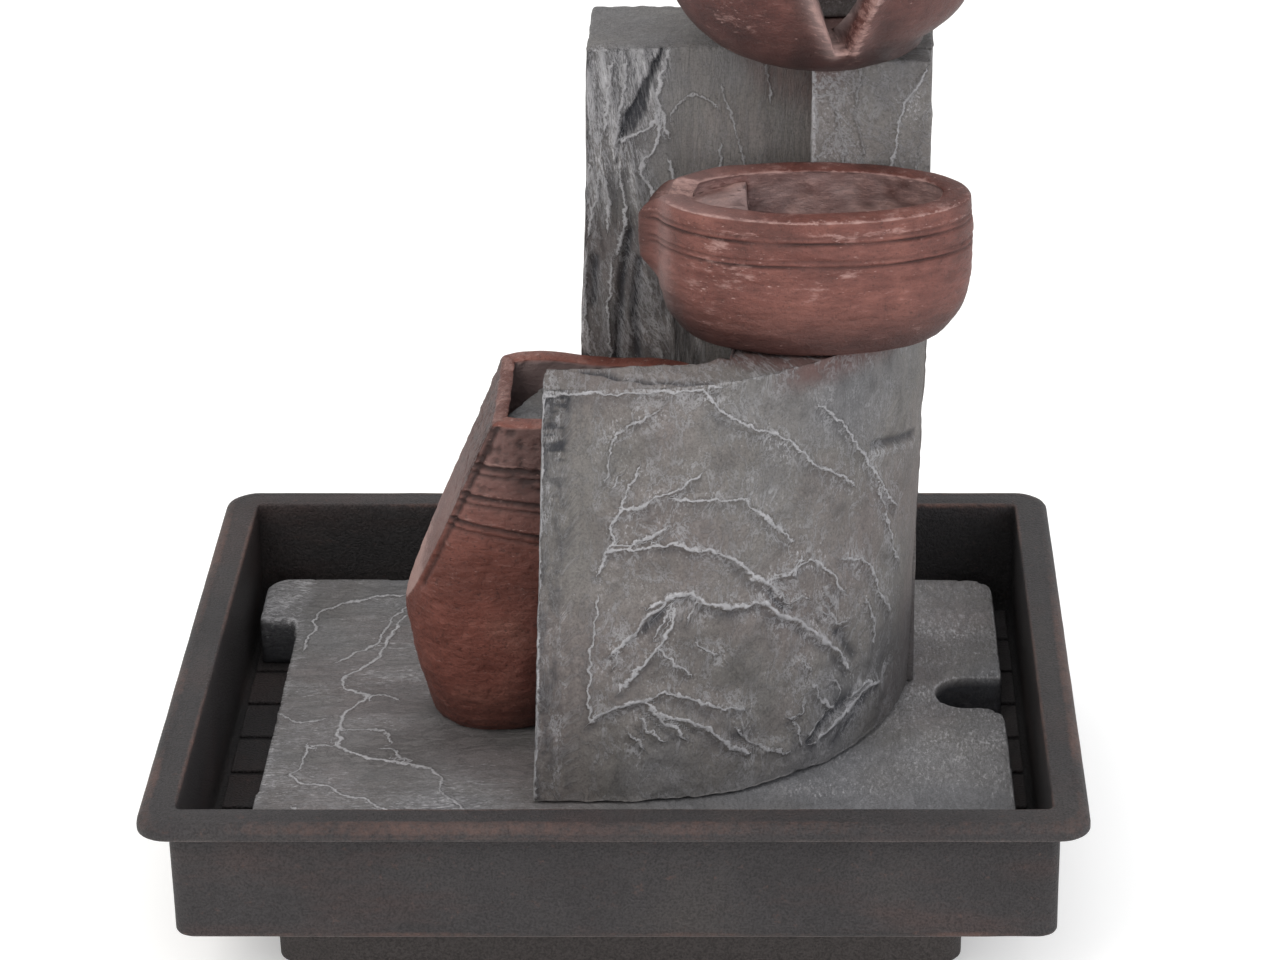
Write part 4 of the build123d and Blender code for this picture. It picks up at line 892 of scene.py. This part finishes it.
speckle *= 0.25 + 0.75 * upper_left**0.5
rub_and_highlight = 0.12 + front * veined * (0.08 + fall * (0.13 + 0.18 * patchy) + 0.18 * crumb) + 0.2 * top
rub_and_highlight += torn * (0.1 + 0.42 * step_up(bark, 0.0, 0.7)) + 1.1 * left_margin + 0.3 * corner
# A painted highlight on the raised lip under the ledge's gap, beside dry-brushed white along the top edge
rub_and_highlight += front * (0.3 * top_margin + 0.3 * ledge_lip)
rub_and_highlight *= 1 - 0.6 * speckle
# Painted shade on the lower right, in the gap of the ledge, in a patch low in the middle and in the crack on top; the
# specks are dark paint
shade = 0.03 + 0.5 * lower_right + 0.8 * ledge_gap * front + 0.5 * under + split * top + 0.8 * speckle
shade += torn * (0.45 * step_down(bark, -0.6, 0.1) + 0.35 * upper_left) * (1 - left_margin)
# Painted shade in the short deep hollows and on the ground just below the veins
shade += (0.75 * sunk + 0.55 * below * front) * (1 - raised) + 0.12 * front * veined * step_down(crumb, -0.8, -0.1)
flow = np.stack([along * (1 + 0.5 * torn), points[:, 1] * 0.3, points[:, 2] * (0.62 + 0.03 * torn)], 1)
around_bowl = length((points[:, :2] - (63.0, -20.7)) / (44.0, 26.0))
stain = 0.75 * step_down(around_bowl, 0.95, 1.35) * step_up(points[:, 2], 186.0, 196.0)
vein = facing * weight * near_line(gap)
marks = {"rub_and_highlight": rub_and_highlight, "shade": shade, "vein": vein, "line": drawn_line(side), "flow": flow, "stain": stain}
block = cast("slate_front_block", points, [quads], block_finish, marks)
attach(block, "rockery")
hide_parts("front_block")


# The middle bowl: an oval bowl cast in resin and painted as old terracotta, with scored lines round it. A broad
# channel at its left leads the water over a snub spout into the jar.
def terracotta_finish(name, deep, mid, pale, dabs, stroke_share, pit_share):
    """Polyresin painted as terracotta: red-brown, with painted shade in the hollows and low down, pale pink brush dabs
    drawn out sideways over the raised parts, painted highlights and glints, and a grey wash where the water stands
    that also serves as painted light inside the pots and on some edges. It has a low sheen."""
    clay = new_finish(name)
    place = add(clay, "TexCoord").outputs["Object"]
    rub_and_highlight, shade, grey_wash_and_light = (attribute(clay, mark) for mark in ("rub_and_highlight", "shade", "grey_wash_and_light"))
    drawn = add(clay, "Mapping", {"Vector": place, "Scale": (1.0, 1.0, 3.2)}).outputs[0]
    # Paint clouds 25 mm wide, brush strokes 6 mm long and 2 mm high, and pits 1 mm wide
    clouds = noise(clay, place, 40.0, 6.0, 0.62)
    strokes = noise(clay, drawn, 150.0, 7.0, 0.7)
    pits = noise(clay, place, 900.0, 5.0, 0.72)
    body = ramp(clay, clouds, (0.34, deep), (0.5, mid), (0.66, pale))
    streaky = ramp(clay, strokes, (0.3, "#b4aaa8"), (0.5, "#e6e0de"), (0.68, "#ffffff"))
    pitted = ramp(clay, pits, (0.33, "#8c8583"), (0.45, "#ffffff"))
    toned = mixed(clay, pit_share, mixed(clay, stroke_share, body, streaky, "MULTIPLY"), pitted, "MULTIPLY")
    # The grey wash, which is also painted light inside the pots and on some edges
    grey = maths(clay, "MULTIPLY", grey_wash_and_light, maths(clay, "MULTIPLY_ADD", strokes, 0.7, 0.65), clamp=True)
    washed_and_lit = mixed(clay, grey, toned, "#ae9895")
    # Painted shade
    dark = mixed(clay, maths(clay, "MULTIPLY", shade, 0.92, clamp=True), washed_and_lit, "#2a1b1a")
    # Pale dabs of paint, with painted highlights where the rub marks carry them
    dabbed_and_lit = ramp(clay, maths(clay, "MULTIPLY_ADD", rub_and_highlight, 0.42, strokes), (0.66, 0.0), (0.88, 0.8))
    # Short pale dashes, 2 mm long: painted glints of light on the raised grain
    dashes = noise(clay, drawn, 480.0, 3.0, 0.6)
    glints = ramp(clay, maths(clay, "MULTIPLY_ADD", rub_and_highlight, 0.26, dashes), (0.7, 0.0), (0.78, 0.7))
    paint = mixed(clay, maths(clay, "MAXIMUM", dabbed_and_lit, glints), dark, dabs)
    coated(clay, paint, maths(clay, "MULTIPLY_ADD", pits, 0.8, strokes), 0.75, 0.9, 0.46, 0.42)
    return clay


def smooth_between(x, xs, ys):
    """A smooth curve through points, read at x."""
    xs, ys = np.array(xs, float), np.array(ys, float)
    slope = np.gradient(ys, xs)
    k = np.clip(np.searchsorted(xs, x) - 1, 0, len(xs) - 2)
    h = xs[k + 1] - xs[k]
    t = np.clip((x - xs[k]) / h, 0, 1)
    return (
        (2 * t**3 - 3 * t**2 + 1) * ys[k] + (t**3 - 2 * t**2 + t) * h * slope[k]
        + (3 * t**2 - 2 * t**3) * ys[k + 1] + (t**3 - t**2) * h * slope[k + 1]
    )


def pot(sections):
    """A pot's skin from sections, each a ring and one or more values that all its points get. The first value is the
    part of the pot: 0 its bottom, 1 its outside, 2 its rim, 3 its inside and 4 its floor."""
    rings, *values = zip(*sections)
    points, quads, fans = ringed(rings)
    return points, [quads, fans], *(np.append(np.repeat(v, len(rings[0])), (v[0], v[-1])) for v in values)


def parts(part):
    """Where a pot's bottom, outside, rim and inside are."""
    return [(part == k).astype(float) for k in range(3)] + [(part >= 3).astype(float)]


def bowl_skin(centre, half, base, height, wall, floor, shares, rim_height, around=330):
    """A thick-walled bowl as a pot: out over its bottom, up its outside, over its rim and down its inside. The
    shares say how wide it is at each level, and the rim's height may differ from place to place."""
    angle = np.linspace(0, 2 * math.pi, around, endpoint=False)
    across = np.stack([np.cos(angle), np.sin(angle)], 1)
    levels, widths = zip(*shares)
    tall = rim_height(centre + across * half)
    sections = []

    def ring(share, inset, z, part):
        outline = centre + across * np.maximum(half * np.reshape(share, (-1, 1)) - inset, 0.0)
        sections.append((np.column_stack([outline, np.full(around, z)]), part))

    for reach in (0.12, 0.35, 0.6, 0.85, 0.985):
        ring(widths[0] * reach, 0.0, base, 0)
    for level in (*np.linspace(0.0, 0.1, 9)[1:], *np.linspace(0.1, 0.97, 104)[1:]):
        ring(smooth_between(level * tall / height, levels, widths), 0.0, base + level * tall, 1)
    share = smooth_between(np.minimum(tall / height, 1.0), levels, widths)
    for bend in np.linspace(0.15, math.pi - 0.15, 11):
        crown = 0.03 * height * math.sin(bend) ** 0.6
        ring(share, wall / 2 - wall / 2 * math.cos(bend), base + tall * 0.97 + crown, 2)
    for level in np.linspace(0.96, 0.0, 34):
        z = level * (tall - floor)
        ring(smooth_between(z / (height - floor), levels, widths), wall, base + floor + z, 3)
    lowest = sections[-1][0]
    return pot(sections + [(drawn_in(lowest, reach), 4) for reach in (0.9, 0.75, 0.55, 0.3, 0.1)])


# The middle bowl's terracotta: mid red-brown, strongly brushed
bowl_finish = terracotta_finish(
    "painted_polyresin_terracotta_bowl", "#633c35", "#7a4b43", "#8c5a50", "#b5938c", 0.8, 0.6
)
bowl_shares = [(0.0, 0.80), (0.06, 0.86), (0.14, 0.915), (0.31, 0.975), (0.60, 1.0), (0.86, 0.995), (1.0, 0.975)]
bowl_height = 48.0
spout_y = -16.7


def bowl_rim(places):
    """The rim's height: level, but for the dip over the spout."""
    dip = step_down(np.abs(places[:, 1] - spout_y), 3.5, 8.5) * step_down(places[:, 0], 17.0, 24.0)
    return bowl_height - 9.5 * dip


points, faces, part = bowl_skin(
    np.array((63.0, -20.7)), np.array((50.6, 27.5)), base=block_top, height=bowl_height, wall=9.0, floor=11.0,
    shares=bowl_shares, rim_height=bowl_rim,
)
out = outward(points, faces[0])
bottom, outside, rim, inside = parts(part)
x, y, height = points.T
lines = np.zeros(len(points))
tilt = 0.5 * grain(points * (1, 1, 0), 30.0, 71)
for level, depth in ((239.0, 1.0), (231.2, 0.95), (241.0, 0.45), (233.2, 0.4)):
    held = 0.8 + 0.4 * grain(points * (1, 1, 0), 16.0, int(level))
    lines = np.maximum(lines, depth * np.clip(held, 0.35, 1) * bell(height - level + tilt, 0.5))
knob = outside * step_down(np.abs(y - spout_y), 5.0, 10.0) * step_up(height, 217.0, 226.0) * step_down(x, 17.0, 26.0)
lines *= 1 - knob
hand = rugged(points, 17.0, 72, 4) + 0.8 * outside * rugged(points * (0.3, 0.3, 1.5), 4.5, 74, 3)
lumps = rugged(points, 8.0, 73, 4)
cut = 0.3 + 0.3 * hand + outside * 1.1 * lines + inside * (0.4 + 1.1 * lumps)
points = points - out * np.clip(cut, -0.2, 1.9)[:, None]
points[:, 0] -= 5.2 * knob
shelf = inside * step_down(points[:, 0], 41.5, 43.5)
shelf_top = 240.6 + 0.1 * np.minimum(points[:, 0] - 14.0, 24.0) + 0.3 * lumps
points[:, 2] = np.maximum(points[:, 2], shelf * shelf_top)
points[:, 1] = np.minimum(points[:, 1], 6.8)
points = within_box(points, "middle_bowl")
x, y, z = points.T
# Pale dabs on the front: where each lies across and up, how wide and tall it is, and its strength
dabs = np.zeros(len(points))
for across, up, wide, tall, share in (
    (33.0, 236.5, 5.0, 2.6, 0.62), (30.0, 228.5, 4.0, 1.6, 0.45), (27.5, 222.0, 3.5, 3.0, 0.4),
    (73.0, 229.5, 6.0, 2.0, 0.45), (74.0, 240.5, 9.0, 1.8, 0.4), (48.0, 234.0, 8.0, 2.0, 0.25),
    (90.0, 243.0, 8.0, 2.0, 0.3), (36.0, 229.0, 16.0, 8.0, 0.3), (30.0, 214.0, 9.0, 7.0, 0.26),
    (62.0, 224.0, 24.0, 6.0, 0.2),
):
    dabs = np.maximum(dabs, share * bell(x - across, wide) * bell(z - up, tall))
# A painted highlight down the bowl's left end
left_end = bell(x - 15.5, 2.6) * outside * step_down(y, -26.0, -20.0)
low_inside = step_down(height, 211.0, 216.0) * inside
rub_and_highlight = 0.05 + 0.2 * rim + 0.45 * rim * step_down(out[:, 1], -0.7, -0.1) + outside * dabs
# Painted highlight along the upper edge of the top scored line, and pale dabs inside as painted light
rub_and_highlight += 0.3 * outside * bell(height - 242.2 + tilt, 0.9) + inside * (0.3 + 0.4 * step_up(lumps, 0.1, 0.8))
# Painted shade in the scored lines, on the underside and the bottom, on the knob and below the spout
shade = outside * (0.95 * lines + 0.8 * step_down(height, 201.0, 222.0)) + 0.6 * knob
shade += 0.3 * outside * step_down(x, 18.0, 24.0) * step_down(height, 214.0, 225.0)
shade += inside * 0.25 * step_down(lumps, -0.8, -0.35) * (1 - shelf) + 0.5 * bottom
# Painted light inside the bowl, with the grey wash on its floor; paler at the left end and on the left part of the rim
grey_wash_and_light = inside * (0.5 + 0.3 * low_inside - 0.15 * shelf + 0.3 * lumps) + 0.25 * left_end * (1 - knob)
grey_wash_and_light += 0.3 * rim * step_down(x, 20.0, 60.0)
bowl = cast("terracotta_middle_bowl", points, faces, bowl_finish, {"rub_and_highlight": rub_and_highlight, "shade": shade, "grey_wash_and_light": grey_wash_and_light})
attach(bowl, "rockery")
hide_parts("middle_bowl")


# The top bowl: a round thick-walled bowl on the column, split down to a V at its front. The V's edges are drawn out
# into pale thick lips, and the water runs over its lowest point.
# The top bowl's terracotta: the darkest of the three, as if wet
upper_finish = terracotta_finish(
    "painted_polyresin_terracotta_upper", "#482825", "#5d3530", "#754a43", "#b5938c", 0.8, 0.6
)
top_middle = np.array((64.5, 18.5))
top_shares = [(0.0, 0.45), (0.07, 0.63), (0.16, 0.76), (0.30, 0.88), (0.52, 0.97), (0.76, 1.0), (1.0, 0.975)]
top_height = 60.0
v_axis, v_low, v_floor, v_slope = 71.8, 14.0, 2.25, 0.353


def split_rim(places):
    """The rim's height: level, but cut down to the V at the front."""
    slit = v_low + np.maximum(np.abs(places[:, 0] - v_axis) - v_floor, 0) / v_slope
    return np.where(places[:, 1] < top_middle[1], np.minimum(top_height, slit), top_height)


points, faces, part = bowl_skin(
    top_middle, np.array((51.5, 51.5)), base=column_top, height=top_height, wall=8.0, floor=12.0,
    shares=top_shares, rim_height=split_rim, around=440,
)
out = outward(points, faces[0])
bottom, outside, rim, inside = parts(part)
ahead = step_down(points[:, 1], -12.0, 0.0)
face = points[:, [0, 2]] - (v_axis, column_top)
beside_v = away(face, [(-18.3, top_height), (-v_floor, v_low), (v_floor, v_low), (18.3, top_height)])
lip = bell(beside_v, 4.0) * ahead * (outside + rim)
edge_line = bell(beside_v, 1.5) * ahead * (outside + rim)
hand = rugged(points, 19.0, 81, 4)
cut = 0.3 + 0.4 * hand + inside * 0.4 * rugged(points, 7.0, 82, 3)
points = points - out * np.clip(cut, -0.1, 1.5)[:, None] * (1 - 0.5 * lip)[:, None]
push = points[:, :2] - top_middle
push /= np.maximum(length(push), 1e-6)[:, None]
points[:, :2] += push * (3.9 * lip)[:, None]
# At the right the foot flares, draws in above that and swells again
up = points[:, 2] - column_top
neck = 2.6 * bell(up - 2.0, 3.2) - 3.2 * bell(up - 9.0, 4.0) + 1.4 * bell(up - 20.0, 6.0)
points[:, 0] += step_up(points[:, 0], 82.0, 93.0) * (bottom + outside) * neck
points = within_box(points, "top_bowl")
at_left = step_up(v_axis - points[:, 0], 0.0, 3.0)
rub_and_highlight = 0.06 + lip * (0.15 + 0.1 * at_left) + 0.45 * edge_line * (1 - 0.3 * at_left) + 0.2 * rim
rub_and_highlight += 0.2 * outside * step_up(hand, 0.3, 0.9) + 0.1 * inside
# Painted shade on the underside and the bottom, and beside the lips of the V
shade = outside * 0.7 * step_down(points[:, 2], 284.0, 311.0) * (1 - 0.75 * lip) + 0.1 * inside
shade += 0.5 * bottom + 0.2 * step_down(hand, -0.9, -0.2) + 0.3 * outside * bell(np.abs(face[:, 0]) - 13.0, 4.0) * ahead
# Painted light inside the bowl and on the left lip, and the grey wash in the V where the water runs
grey_wash_and_light = inside * (0.35 + 0.6 * bell(face[:, 0], 9.0) * ahead) + 0.55 * lip * at_left
top_bowl = cast("terracotta_top_bowl", points, faces, upper_finish, {"rub_and_highlight": rub_and_highlight, "shade": shade, "grey_wash_and_light": grey_wash_and_light})
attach(top_bowl, "rockery")
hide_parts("top_bowl")


# The jar at the left: an oval jar that leans over against the rockery, sliced flat down its left side, with three
# scored bands below its open mouth.
# The jar's terracotta: the lightest and reddest, weakly brushed and deeply pitted
jar_finish = terracotta_finish(
    "painted_polyresin_terracotta_jar", "#67392f", "#7e4a3f", "#8b5a4e", "#a8867e", 0.3, 0.9
)
jar_levels = (0.0, 0.10, 0.21, 0.42, 0.66, 1.0)
jar_table = {
    "x": (-43.0, -42.4, -41.1, -37.2, -28.0, -11.0),
    "y": (4.0, 1.0, -1.4, -3.9, -6.2, -8.0),
    "a": (23.3, 26.4, 29.9, 36.5, 42.2, 44.0),
    "b": (21.6, 24.4, 26.4, 28.4, 28.4, 27.8),
}
jar_height, jar_wall, jar_bottom = 123.0, 8.0, 13.0
jar_floor = slab_top + jar_bottom


def jar_ring(share, inset, height):
    """One ring of the jar at a share of its height, drawn in by an inset."""
    x, y, a, b = (smooth_between(share, jar_levels, jar_table[k]) for k in "xyab")
    outline = rounded_ring(a - inset, b - inset, 0.94 * b - inset, 34, 6, 46)
    return np.column_stack([outline + (x, y), np.full(len(outline), height)])


# Each section has its ring, its part and how far it lies inside the wall
sections = [(drawn_in(jar_ring(0.0, 0.0, slab_top), reach), 0, 0.0) for reach in (0.15, 0.4, 0.7, 0.93)]
for share in np.linspace(0.0, 0.985, 230):
    sections.append((jar_ring(share, 1.6 * math.exp(-share * 60), slab_top + jar_height * share), 1, 0.0))
for bend in np.linspace(0.2, math.pi - 0.2, 11):
    inner = 0.5 - 0.5 * math.cos(bend)
    crown = slab_top + jar_height - 1.6 + 1.6 * math.sin(bend) ** 0.6
    sections.append((jar_ring(1.0, jar_wall * inner, crown), 2, inner))
for share in np.linspace(0.98, 0.0, 44):
    sections.append((jar_ring(share, jar_wall, jar_floor + (jar_height - jar_bottom) * share), 3, 1.0))
sections += [(drawn_in(jar_ring(0.0, jar_wall, jar_floor), reach), 4, 1.0) for reach in (0.8, 0.5, 0.2)]
points, faces, part, inner = pot(sections)
out = outward(points, faces[0])
bottom, outside, rim, inside = parts(part)
x, y, z = points.T
slice_x = -71.5 + 0.443 * (z - 100.0)
bands, lifted = np.zeros((2, len(points)))
for start, slope in ((156.4, 0.10), (145.3, 0.14), (134.8, 0.20)):
    above = z - (start - slope * (x + 46.0))
    bands = np.max([bands, bell(above, 0.8), 0.6 * bell(above + 2.9, 0.6)], axis=0)
    lifted = np.maximum(lifted, bell(above - 1.7, 0.7))
fronted = outside * step_down(y, -2.0, 6.0)
bands *= fronted * (0.85 + 0.3 * grain(points, 11.0, 91))
lifted *= fronted
hand = rugged(points, 15.0, 92, 4) + 0.4 * outside * rugged(points * (0.4, 0.4, 1.4), 4.5, 94, 3)
pitting = rugged(points, 2.6, 93, 3) * (0.7 + 1.3 * step_up(z, 135.0, 155.0))
arch = 2.6 * bell(x + 28.0, 17.0) * step_up(y, -10.0, 8.0)
points[:, 2] += arch * step_up(z, 140.0, 171.0)
groove = outside * bell(x - slice_x - 1.6, 0.9) * step_down(y, -8.0, 0.0) * step_up(z, 104.0, 112.0)
cut = 0.35 + 0.35 * hand + inside * 0.6 * pitting
cut += outside * (0.4 * pitting + 1.5 * bands - 0.35 * lifted + 1.2 * groove)
points = points - out * np.clip(cut, -0.1, 2.4)[:, None]
keep = slice_x + 4.5 * inner + 0.12 * pitting
on_slice = step_up(keep + 0.3 - points[:, 0], 0.0, 0.4) * (1 - inside)
points[:, 0] = np.maximum(points[:, 0], keep)
points[:, 1] = np.minimum(points[:, 1], 20.0)
points = within_box(points, "jar", 2.6)
x, y, z = points.T
# Painted highlights on the lower end of the flat slice and on the raised edges beside the scored bands
low_end = on_slice * step_down(z, 104.0, 128.0)
rub_and_highlight = 0.08 + 0.06 * on_slice + 0.45 * low_end + 0.4 * on_slice * step_down(z, 106.0, 114.0) + 0.25 * rim
rub_and_highlight += 0.4 * lifted * (1 - on_slice) + 0.12 * outside * step_up(hand, 0.0, 0.8)
# Painted shade in the scored bands, in the groove beside the slice, over the upper slice, inside the mouth and on the
# side towards the block; also darker in the pits, on the upper front and near the bottom
shade = (0.9 * bands + 0.8 * groove) * (1 - on_slice) + 0.42 * on_slice * step_up(z, 103.0, 118.0) + 0.66 * inside
shade += outside * (0.32 * step_up(x, -46.0, -26.0) + 0.35 * step_up(pitting, 0.35, 1.1))
shade += outside * (0.36 * step_up(z, 125.0, 160.0) + 0.45 * step_down(z, 50.0, 76.0))
# The grey wash inside and on the upper front, and painted light on the lower end of the slice
grey_wash_and_light = inside + 0.4 * low_end + 0.32 * outside * (1 - on_slice) * step_up(z, 122.0, 165.0)
jar = cast("terracotta_jar", points, faces, jar_finish, {"rub_and_highlight": rub_and_highlight, "shade": shade, "grey_wash_and_light": grey_wash_and_light})
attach(jar, "rockery")
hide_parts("jar")


# Two stone inserts cast in place: the ledge that fills the right part of the jar's mouth and hides its drain, and
# the rock in the top bowl that hides the pipe. Both are painted as slate.
for node, label, seed in (("jar_ledge", "slate_jar_ledge", 101), ("outlet_rock", "slate_outlet_rock", 111)):
    points, faces, out = blank(node, 1.1)
    relief = rugged(points, 9.0, seed, 5)
    showing = np.maximum(step_up(out[:, 2], 0.2, 0.8), step_down(out[:, 1], -0.8, -0.4))
    points = within_box(points - out * ((0.9 + 1.1 * relief) * showing).clip(0, 2.6)[:, None], node)
    marks = {
        "rub_and_highlight": 0.24 + 0.3 * step_up(relief, 0.0, 0.8),
        "shade": 0.3 * step_down(relief, -0.9, 0.0),
        "flow": points,
    }
    stone = cast(label, points, faces, slab_finish, marks)
    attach(stone, "rockery")
    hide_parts(node)


# The pump and the small parts under the rockery. They are moulded, turned or wound to plain shapes, so the packed
# solids stay and only take their finishes.
def plain_finish(name, low_tone, high_tone, width, roughness, depth, metallic=0.0, stretch=(1, 1, 1)):
    """A finish with one clouded colour and a fine relief, both from a pattern as wide as the width in millimetres."""
    finish = new_finish(name)
    place = add(finish, "TexCoord").outputs["Object"]
    drawn = add(finish, "Mapping", {"Vector": place, "Scale": stretch}).outputs[0]
    fine = noise(finish, drawn, 1000 / width, 4.0, 0.6)
    broad = noise(finish, place, 90.0, 3.0, 0.5)
    body = ramp(finish, maths(finish, "MULTIPLY", fine, broad), (0.14, low_tone), (0.4, high_tone))
    coated(finish, body, fine, 0.4, depth, roughness, metallic=metallic)
    return finish


for finish, nodes in (
    # Spark-eroded black ABS of the pump: even satin with a fine grain
    (plain_finish("moulded_black_abs", "#1b1c1f", "#2c2d31", 0.9, 0.42, 0.25),
     ("pump_housing", "outlet_spigot", "chamber_cover", "strainer_cover", "outlet_elbow")),
    # Soft black rubber: matt, with a dusty bloom
    (plain_finish("moulded_nitrile_rubber", "#191919", "#2b2a2a", 1.4, 0.78, 0.2),
     ("basin_feet", "suction_cups", "cable_gland", "front_bush", "rear_bush")),
    # Grey acetal of the dial: a little lighter, with a dull sheen
    (plain_finish("moulded_grey_acetal", "#54565a", "#6b6d70", 1.1, 0.38, 0.15), ("flow_dial",)),
    # White acetal of the impeller
    (plain_finish("moulded_white_acetal", "#d5d3cc", "#e6e4de", 1.1, 0.35, 0.12), ("impeller",)),
    # Sintered ferrite of the magnet: dark, dull and grainy
    (plain_finish("sintered_ferrite", "#2e2f31", "#45464a", 0.6, 0.62, 0.2, 0.25), ("rotor_magnet",)),
    # Ground alumina of the shaft: smooth and cream-white
    (plain_finish("ground_alumina", "#e2dfd5", "#efece4", 0.5, 0.22, 0.03), ("rotor_shaft",)),
    # Silicone of the hose: milky, with fine lines along its length from the die
    (plain_finish("extruded_silicone", "#b9bbb6", "#d2d3cf", 1.2, 0.36, 0.08, 0.0, (1, 1, 0.05)), ("supply_hose",)),
    # Stacked electrical steel: fine layers across the stack
    (plain_finish("stacked_electrical_steel", "#6d6f72", "#a0a2a5", 0.9, 0.4, 0.2, 0.9, (0.04, 1, 0.04)),
     ("stator_core",)),
    # Enamelled copper wire: copper-red, in close turns
    (plain_finish("enamelled_copper_wire", "#8a3f1d", "#c66a35", 0.8, 0.32, 0.35, 0.85, (0.05, 1, 1)),
     ("stator_winding",)),
    # Cast epoxy round the coil: black and glossy
    (plain_finish("cast_black_epoxy", "#121214", "#1c1c1f", 3.0, 0.18, 0.1), ("potting",)),
):
    for node in nodes:
        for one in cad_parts[node].material_slots:
            one.material = finish
